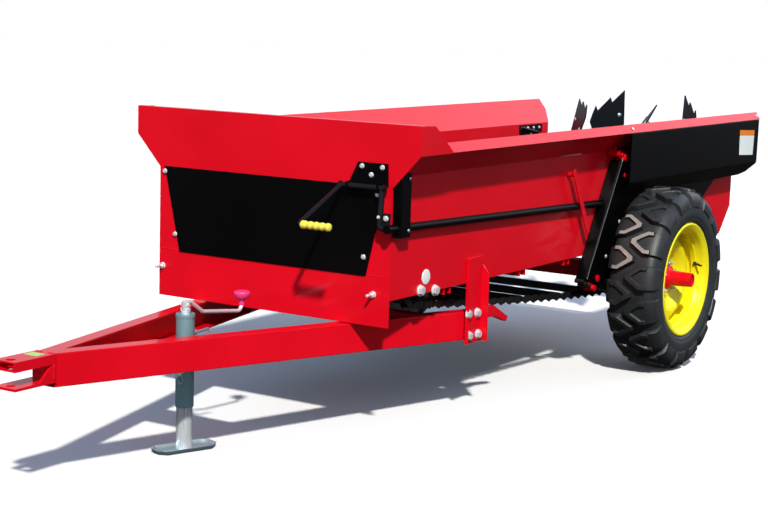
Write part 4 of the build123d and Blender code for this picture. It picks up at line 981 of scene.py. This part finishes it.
# ---------------- side walls
WALL_BOLTS = ((181.0, 463.0), (269.0, 453.0))  # y, z of the take-up's bolts
PLUG_PLACE = (213.0, 503.0)
PLUG_RADIUS = 22.0
# painted highlight along the fold of wall and flare, standing in for the sun's glint on the bend
FLARE_PAINTED_GLINT = ((1110.0, 834.0, 0.8), (1275.0, 832.0, 3.4))       # ends as (y, z), with the streak's width
FLARE_FOLD_Z = 832.0
FLARE_SLOPE = (WALL_HIGH.x - 20.0 - WALL_X) / (WALL_HIGH.z - FLARE_FOLD_Z)
GUARD_Y = (2490.0, 2705.0)       # plate that carries the beater's guard, inside the wall
GUARD_Z = (792.0, 828.0)
GUARD_BOLTS = ((2510.0, 816.0), (2565.0, 815.0), (2620.0, 814.0), (2675.0, 813.0))    # y, z


def build_walls():
    rows = []
    for y, z in WALL_BOLTS:
        rows.append(((WALL_X, y, z), LEFT_AXIS, 17.0))
    build_bolts("take_up_bolts", "bright_steel", both_sides(rows))
    for name, side in SIDES:
        bm = bmesh.new()
        profile = [(0.0, -3.5), (PLUG_RADIUS - 0.6, -3.5), (PLUG_RADIUS - 0.6, 0.0), (PLUG_RADIUS + 2.5, 0.2)]
        profile += [(PLUG_RADIUS + 1.8, 1.8), (PLUG_RADIUS - 5.0, 3.0), (0.0, 3.6)]
        lathe(bm, profile, (side * WALL_X, *PLUG_PLACE), (side, 0, 0), 36)
        piece("wall_plug_" + name, bm, "plate_white")
        bm = bmesh.new()
        (y0, z0, wide0), (y1, z1, wide1) = FLARE_PAINTED_GLINT    # painted highlight: a light streak where the fold of wall and flare catches the sun
        streak = [(y0, z0), (y1, z1), (y1, z1 + wide1), (y0, z0 + wide0)]
        thin_sheet(bm, streak, side, flare_x, (-0.5, 0.4))
        piece("flare_painted_glint_" + name, bm, "plate_white")
        bm = bmesh.new()
        thin_sheet(bm, rectangle(GUARD_Y, GUARD_Z), side, flare_x, (-7.0, -3.2))
        piece("guard_plate_" + name, bm, "black_paint")
    rows = [((WALL_X - 7.0, y, z), (-1, 0, 0), 6.0) for y, z in GUARD_BOLTS]
    build_bolts("guard_bolts", "bright_steel", both_sides(rows))


def flare_x(z):
    """Outer face of a side wall's flare at a height."""
    return WALL_X + FLARE_SLOPE * max(z - FLARE_FOLD_Z, 0.0)


# ---------------- drive cases
CASE_EDGE = ((1544.0, 803.0), (1283.0, 372.0))       # y, z of the case's bent front edge
CASE_BOLTS = ((1539.0, 564.0), (1435.0, 442.0))
DRIVE_ARMS = (
    # ends of a lever arm as (y, z), with its width
    ((1345.0, 332.0), (1368.0, 366.0), 22.0),
    ((1345.0, 332.0), (1318.0, 350.0), 18.0),
)
DRIVE_BOSSES = (
    # y, z, radius
    (1580.0, 803.0, 19.0),
    (1566.0, 738.0, 10.0),
    (1503.0, 825.0, 13.0),
    (1537.0, 818.0, 9.0),
    (1368.0, 366.0, 15.0),
    (1345.0, 332.0, 13.0),
)
DRIVE_LUMPS = ((1262.0, 366.0, 9.0), (1290.0, 352.0, 12.0), (1316.0, 342.0, 10.0))    # y, z, radius; black
FLARE_NUTS = ((1560.0, 838.0), (1530.0, 832.0))      # y, z of the nuts over the case
BOSS_PROUD = 4.0         # how far a boss stands out of the case
BOSS_FOOT = 8.0          # where a boss begins, out from the wall
ARM_PLACES = {1: (32.0, 22.0), -1: (-40.0, -30.0)}     # lower x of the red and the black arm, from the wall


def arm(bm, start, end, width, x, gauge):
    """Flat link with round ends that lies against a side plane."""
    start, end = Vector(start), Vector(end)
    along = (end - start).normalized()
    across = Vector((-along.y, along.x))
    outline = []
    for centre, sign in ((end, 1), (start, -1)):
        for k in range(9):
            turn = math.pi * (k / 8 - 0.5)
            outline.append(centre + sign * (along * math.cos(turn) + across * math.sin(turn)) * width / 2)
    to_space = Matrix(((0, 0, 1, x), (1, 0, 0, 0), (0, 1, 0, 0), (0, 0, 0, 1)))
    prism(bm, [tuple(p) for p in outline], to_space, gauge)


def build_drive():
    reach = CASE_FACE + BOSS_PROUD - (WALL_X + BOSS_FOOT)
    for name, side in SIDES:
        foot, out = side * (WALL_X + BOSS_FOOT), (side, 0, 0)
        red_x, black_x = (side * WALL_X + step for step in ARM_PLACES[side])
        bm = bmesh.new()
        # painted highlight: a grey line along the case's bent front edge
        sweep(bm, [Vector((side * (CASE_FACE - 1.0), y, z)) for y, z in CASE_EDGE], 1.6, 10)
        piece("case_edge_highlight_" + name, bm, "edge_highlight_grey")
        bm = bmesh.new()
        for start, end, width in DRIVE_ARMS:
            arm(bm, start, end, width, red_x, 8.0)
        for y, z, radius in DRIVE_BOSSES:
            frustum(bm, (foot, y, z), out, radius, 0.85 * radius, reach, 24)
        piece("drive_links_" + name, bm, "red_paint")
        bm = bmesh.new()
        arm(bm, DRIVE_LUMPS[0][:2], DRIVE_BOSSES[-1][:2], 12.0, black_x, 6.0)
        for y, z, radius in DRIVE_LUMPS:
            frustum(bm, (foot, y, z), out, radius, 0.8 * radius, reach - 6.0, 20)
        piece("drive_lumps_" + name, bm, "chain_steel")
    rows = [((CASE_FACE, y, z), LEFT_AXIS, 8.0) for y, z in CASE_BOLTS]
    across = Vector((1.0, 0.0, -FLARE_SLOPE)).normalized()
    rows += [((flare_x(z) - 0.5, y, z), across, 7.0) for y, z in FLARE_NUTS]
    build_bolts("case_bolts", "bright_steel", both_sides(rows), dome)


# ---------------- rear shields
PLATE_CORNERS = ((2605.0, 867.0), (2775.0, 859.0), (2770.0, 752.0), (2612.0, 760.0))
PLATE_LIFTS = (-0.3, 0.6)     # the blank plate's two faces, from the shield's
PLATE_BAND = 0.22        # share of the blank plate's height in the second tone
LIP_BOLTS = (1524.0, 2800.0)
LIP_FACE = (549.5, 920.5)     # x, z of the lip's slanted face at its middle
LIP_AXIS = (0.80, 0.0, 0.60)
SHIELD_LEAN = 1.7
SHIELD_TOP_Z = 904.0
SHIELD_CREASE_Z = 716.0


def shield_x(z):
    """Outer face of a rear shield's upper part, which leans inwards towards its crease."""
    return SHIELD_FACE - SHIELD_LEAN * (SHIELD_TOP_Z - z) / (SHIELD_TOP_Z - SHIELD_CREASE_Z)


def build_shields():
    a, b, c, d = (Vector(p) for p in PLATE_CORNERS)
    band_right, band_left = b.lerp(c, PLATE_BAND), a.lerp(d, PLATE_BAND)
    for name, side in SIDES:
        bm = bmesh.new()
        thin_sheet(bm, (a, b, band_right, band_left), side, shield_x, PLATE_LIFTS)
        piece("shield_plate_band_" + name, bm, "plate_orange")
        bm = bmesh.new()
        thin_sheet(bm, (band_left, band_right, c, d), side, shield_x, PLATE_LIFTS)
        piece("shield_plate_" + name, bm, "plate_white")
    rows = [((LIP_FACE[0], y, LIP_FACE[1]), LIP_AXIS, 7.0) for y in LIP_BOLTS]
    build_bolts("lip_bolts", "bright_steel", both_sides(rows), dome)


# ---------------- beater
PADDLES = (
    # place along the shaft, angle from straight up towards the rear, hand of the twist, side of the long edge
    (-335.0, 100.0, 1, 1),
    (-160.0, 26.0, -1, -1),
    (0.0, -3.0, 1, 1),
    (95.0, 53.0, -1, 1),
    (230.0, 130.0, 1, -1),
    (385.0, 6.0, -1, -1),
)
PADDLE_TWIST = math.radians(45.0)
PADDLE_BOLTS = ((165.0, 62.0), (92.0, 30.0), (92.0, -30.0))     # from the shaft's axis, across the plate
PADDLE_FACE = 3.0


def build_beater():
    rows = []
    ribs = bmesh.new()
    for x, angle, twist, side in PADDLES:
        for half_turn in (0.0, 180.0):
            turn = Matrix.Rotation(math.radians(-angle - half_turn), 4, "X")
            turn = turn @ Matrix.Rotation(twist * PADDLE_TWIST, 4, "Z")
            place = Matrix.Translation((x, BEATER.y, BEATER.z)) @ turn
            for reach, across in PADDLE_BOLTS:
                for face in (1, -1):
                    spot = place @ Vector((side * across, face * PADDLE_FACE, reach))
                    axis = place.to_3x3() @ Vector((0, face, 0))
                    rows.append((spot, axis, 9.0))
            for face in (1, -1):
                foot = place @ Vector((0, face * 9.0, 30.0))
                top = place @ Vector((0, face * 4.5, 80.0))
                sweep(ribs, [foot, top], 5.0, 4)
    piece("paddle_ribs", ribs, "beater_paint", "beater")
    build_bolts("paddle_bolts", "zinc_steel", rows, dome, "beater")
    flange = box_mm("beater_bearing_left")
    face_x, reach = flange[0].x + 8.0, (flange[1].y - flange[0].y) / 2 - 11.0
    rows = []
    for a in (1, -1):
        for b in (1, -1):
            rows.append(((face_x, BEATER.y + a * reach, BEATER.z + b * reach), LEFT_AXIS, 9.0))
    build_bolts("bearing_bolts", "zinc_steel", both_sides(rows))


# ---------------- underside, valves and sprockets
SPROCKET_TEETH = 8
BRACKET_PLACES = (-330.0, -120.0, 120.0, 330.0)      # x of the axle's brackets
VALVE_TURN = math.radians(13.0)
VALVE_PROFILE = (
    # radius, height
    (0.0, -4.0), (8.0, -4.0), (8.0, 1.0), (5.0, 6.0), (4.6, 26.0), (3.8, 28.0), (3.8, 38.0), (0.0, 39.0),
)


def build_underside():
    for name, node in (("front", "idler_shaft"), ("rear", "apron_drive_shaft")):
        centre = middle_mm(node)
        bm = bmesh.new()
        for sign in (1, -1):
            for k in range(SPROCKET_TEETH):
                turn = 2 * math.pi * (k + 0.35) / SPROCKET_TEETH
                out = Vector((0, math.cos(turn), math.sin(turn)))
                foot = Vector((sign * CHAIN_X, centre.y, centre.z)) + out * 24.0
                frustum(bm, foot, out, 9.0, 4.0, 16.0, 8)
        piece("sprocket_teeth_" + name, bm, "chain_steel")
    bolt_z = box_mm("axle_brackets")[1].z - 34.0
    rows = []
    for x in BRACKET_PLACES:
        for step in (-1, 1):
            rows.append(((x + 5.0, WHEEL.y + step * 58.0, bolt_z), LEFT_AXIS, 11.0))
    build_bolts("axle_bolts", "bright_steel", rows)
    for name, side in SIDES:
        bm = bmesh.new()
        out = Vector((0, math.cos(VALVE_TURN), math.sin(VALVE_TURN)))
        base = wheel_middle(side) + Vector((side * 50.0, 0, 0)) + out * 176.0
        axis = (Vector((side, 0, 0)) * 0.9 - out * 0.45).normalized()
        lathe(bm, VALVE_PROFILE, base, axis, 16)
        piece("valve_" + name, bm, "tyre", "wheel_" + name)


# ---------------- look of the CAD nodes
DRESSED = (
    # node, paint, fold radius, edge radius, gauge; both sides where the name ends in an underscore
    ("front_panel", "red_paint", 5.0, 0.6, 3.0),
    ("side_wall_", "red_paint", 5.0, 0.6, 3.0),
    ("tongue_beam_", "red_paint", 7.0, 0.8, 5.0),
    ("tongue_cross_tube", "red_paint", 5.0, 0.8, 4.0),
    ("upright_", "red_paint", 5.0, 0.8, 6.0),
    ("tongue_heel_", "red_paint", 0.0, 1.5, 6.0),
    ("hitch", "red_paint", 0.0, 1.0, 8.0),
    ("jack_plate", "red_paint", 0.0, 1.2, 8.0),
    ("take_up_", "black_paint", 0.0, 1.5, 8.0),
    ("apron_slats", "chain_steel", 0.0, 2.0, 8.0),
    ("beater", "beater_paint", 0.0, 1.0, 6.0),
    ("axle", "red_paint", 0.0, 3.0, 8.0),
    ("beater_bearing_", "black_paint", 0.0, 1.2, 8.0),
    ("front_cover", "black_paint", 0.0, 0.6, 3.0),
    ("drive_case_", "black_paint", 3.0, 0.5, 3.0),
    ("rear_shield_", "black_paint", 5.0, 0.5, 3.0),
    ("guide_post", "black_paint", 3.5, 0.5, 3.0),
    ("lever_bracket", "black_paint", 0.0, 1.0, 6.0),
    ("front_baffle", "red_paint", 4.0, 0.5, 3.0),
    ("cross_sills", "red_paint", 4.0, 0.6, 5.0),
    ("axle_brackets", "red_paint", 0.0, 1.0, 10.0),
    ("shift_rod", "red_paint", 0.0, 0.8, 5.0),
)


def dress_nodes():
    for slot in frame["record"]["materials"]:
        for part in frame["record"]["subparts"]:
            if part["material_slot"] != slot["slot"]:
                continue
            data = nodes[part["node"]]
            for holder in data.material_slots:
                holder.material = paints[slot["slot"]]
    for node, paint, fold, edge, gauge in DRESSED:
        names = [node + name for name, _ in SIDES] if node.endswith("_") else [node]
        for name in names:
            dressed(name, paint, fold=fold, edge=edge, gauge=gauge)


# ---------------- camera, light and backdrop
CAMERA_PLACE = TO_FRAME @ Vector((3226.41, -4322.92, 1351.0))
CAMERA_YAW = math.radians(32.8295)
CAMERA_PITCH = math.radians(8.4103)
CAMERA_ROLL = math.radians(1.7067)
CAMERA_LENS = 79.44
SUN_DIRECTION = (0.46, -0.58, 0.68)
SKY = (
    # height of the direction, colour: dark ground, bright haze over the horizon, deeper sky
    (-0.06, (0.055, 0.05, 0.05)),
    (0.03, (0.80, 0.86, 0.95)),
    (0.22, (0.80, 0.88, 1.0)),
    (0.40, (0.22, 0.30, 0.46)),
)
SUN_STRENGTH = 4.3
SKY_STRENGTH = 0.85
SOFT_BOX_PLACE = Vector((2.2, 6.5, 4.2))     # metres
SOFT_BOX_WATTS = 160.0
BACKDROP_REACH = 45.0    # metres
BACKDROP_HEIGHT = 30.0
BACKDROP_SIDES = 64
FLOOR_Z = -0.001         # just under the ground, in metres


def build_camera():
    a, e, roll = CAMERA_YAW, CAMERA_PITCH, CAMERA_ROLL
    ahead = Vector((-math.sin(a) * math.cos(e), math.cos(a) * math.cos(e), -math.sin(e)))
    right = Vector((math.cos(a), math.sin(a), 0))
    up = right.cross(ahead)
    right, up = right * math.cos(roll) + up * math.sin(roll), up * math.cos(roll) - right * math.sin(roll)
    camera = bpy.data.cameras.new("camera")
    camera.lens = CAMERA_LENS
    camera.sensor_width = 36.0
    camera.clip_end = 200.0
    obj = add_object("camera", camera)
    turn = Matrix((right, up, -ahead)).transposed().to_4x4()
    obj.matrix_world = Matrix.Translation(CAMERA_PLACE) @ turn
    bpy.context.scene.camera = obj


def build_light():
    lamp = bpy.data.lights.new("key", "SUN")
    lamp.energy = SUN_STRENGTH
    lamp.angle = math.radians(2.5)
    lamp.color = (1.0, 0.97, 0.93)
    add_object("key", lamp).matrix_world = turn_to(SUN_DIRECTION)
    world = bpy.data.worlds.new("studio")
    bpy.context.scene.world = world
    world.use_nodes = True
    tree = world.node_tree
    background = tree.nodes["Background"]
    place = tree.nodes.new("ShaderNodeTexCoord")
    split = tree.nodes.new("ShaderNodeSeparateXYZ")
    ramp = tree.nodes.new("ShaderNodeValToRGB")
    stretch = tree.nodes.new("ShaderNodeMapRange")
    stretch.inputs["From Min"].default_value = -1.0
    elements = ramp.color_ramp.elements
    for _ in SKY[2:]:
        elements.new(0.5)
    for element, (height, color) in zip(elements, SKY):
        element.position, element.color = 0.5 + height / 2, (*color, 1.0)
    tree.links.new(place.outputs["Generated"], split.inputs["Vector"])
    tree.links.new(split.outputs["Z"], stretch.inputs["Value"])
    tree.links.new(stretch.outputs["Result"], ramp.inputs["Fac"])
    tree.links.new(ramp.outputs["Color"], background.inputs["Color"])
    background.inputs["Strength"].default_value = SKY_STRENGTH
    soft = bpy.data.lights.new("soft_box", "AREA")
    soft.shape = "RECTANGLE"
    soft.size, soft.size_y = 8.0, 4.0
    soft.energy = SOFT_BOX_WATTS
    soft.color = (0.80, 0.88, 1.0)
    obj = add_object("soft_box", soft)
    place = SOFT_BOX_PLACE
    obj.matrix_world = Matrix.Translation(place) @ turn_to(place - Vector((0, 0.5, 0.6)))
    obj.visible_camera = False
    bpy.context.scene.view_settings.view_transform = "Standard"


def build_backdrop():
    """Pale floor under the machine and a white wall far round it; neither lights the machine."""
    count = BACKDROP_SIDES
    turns = [2 * math.pi * k / count for k in range(count)]
    ring = [(BACKDROP_REACH * math.cos(turn), BACKDROP_REACH * math.sin(turn)) for turn in turns]
    floor, shader = principled("studio_floor", (0.92, 0.92, 0.90), 0.9)
    shader.inputs["Specular IOR Level"].default_value = 0.1
    wall, shader = principled("studio_wall", (0.0, 0.0, 0.0), 1.0)
    shader.inputs["Specular IOR Level"].default_value = 0.0
    shader.inputs["Emission Color"].default_value = (1.0, 1.0, 1.0, 1.0)
    shader.inputs["Emission Strength"].default_value = 1.0
    sheets = {
        "studio_floor": (floor, [(x, y, FLOOR_Z) for x, y in ring], [tuple(range(count))]),
        "studio_wall": (
            wall,
            [(x, y, z) for z in (FLOOR_Z, BACKDROP_HEIGHT) for x, y in ring],
            [(k, (k + 1) % count, count + (k + 1) % count, count + k) for k in range(count)],
        ),
    }
    for name, (material, points, faces) in sheets.items():
        mesh = bpy.data.meshes.new(name)
        mesh.from_pydata(points, [], faces)
        mesh.materials.append(material)
        obj = add_object(name, mesh)
        obj.visible_diffuse = False
        obj.visible_glossy = False
        obj.visible_shadow = name == "studio_floor"


dress_nodes()
build_tyres()
build_wheels()
build_chains()
build_fasteners()
build_hitch()
build_jack()
build_controls()
build_front()
build_walls()
build_drive()
build_shields()
build_beater()
build_underside()
build_camera()
build_light()
build_backdrop()
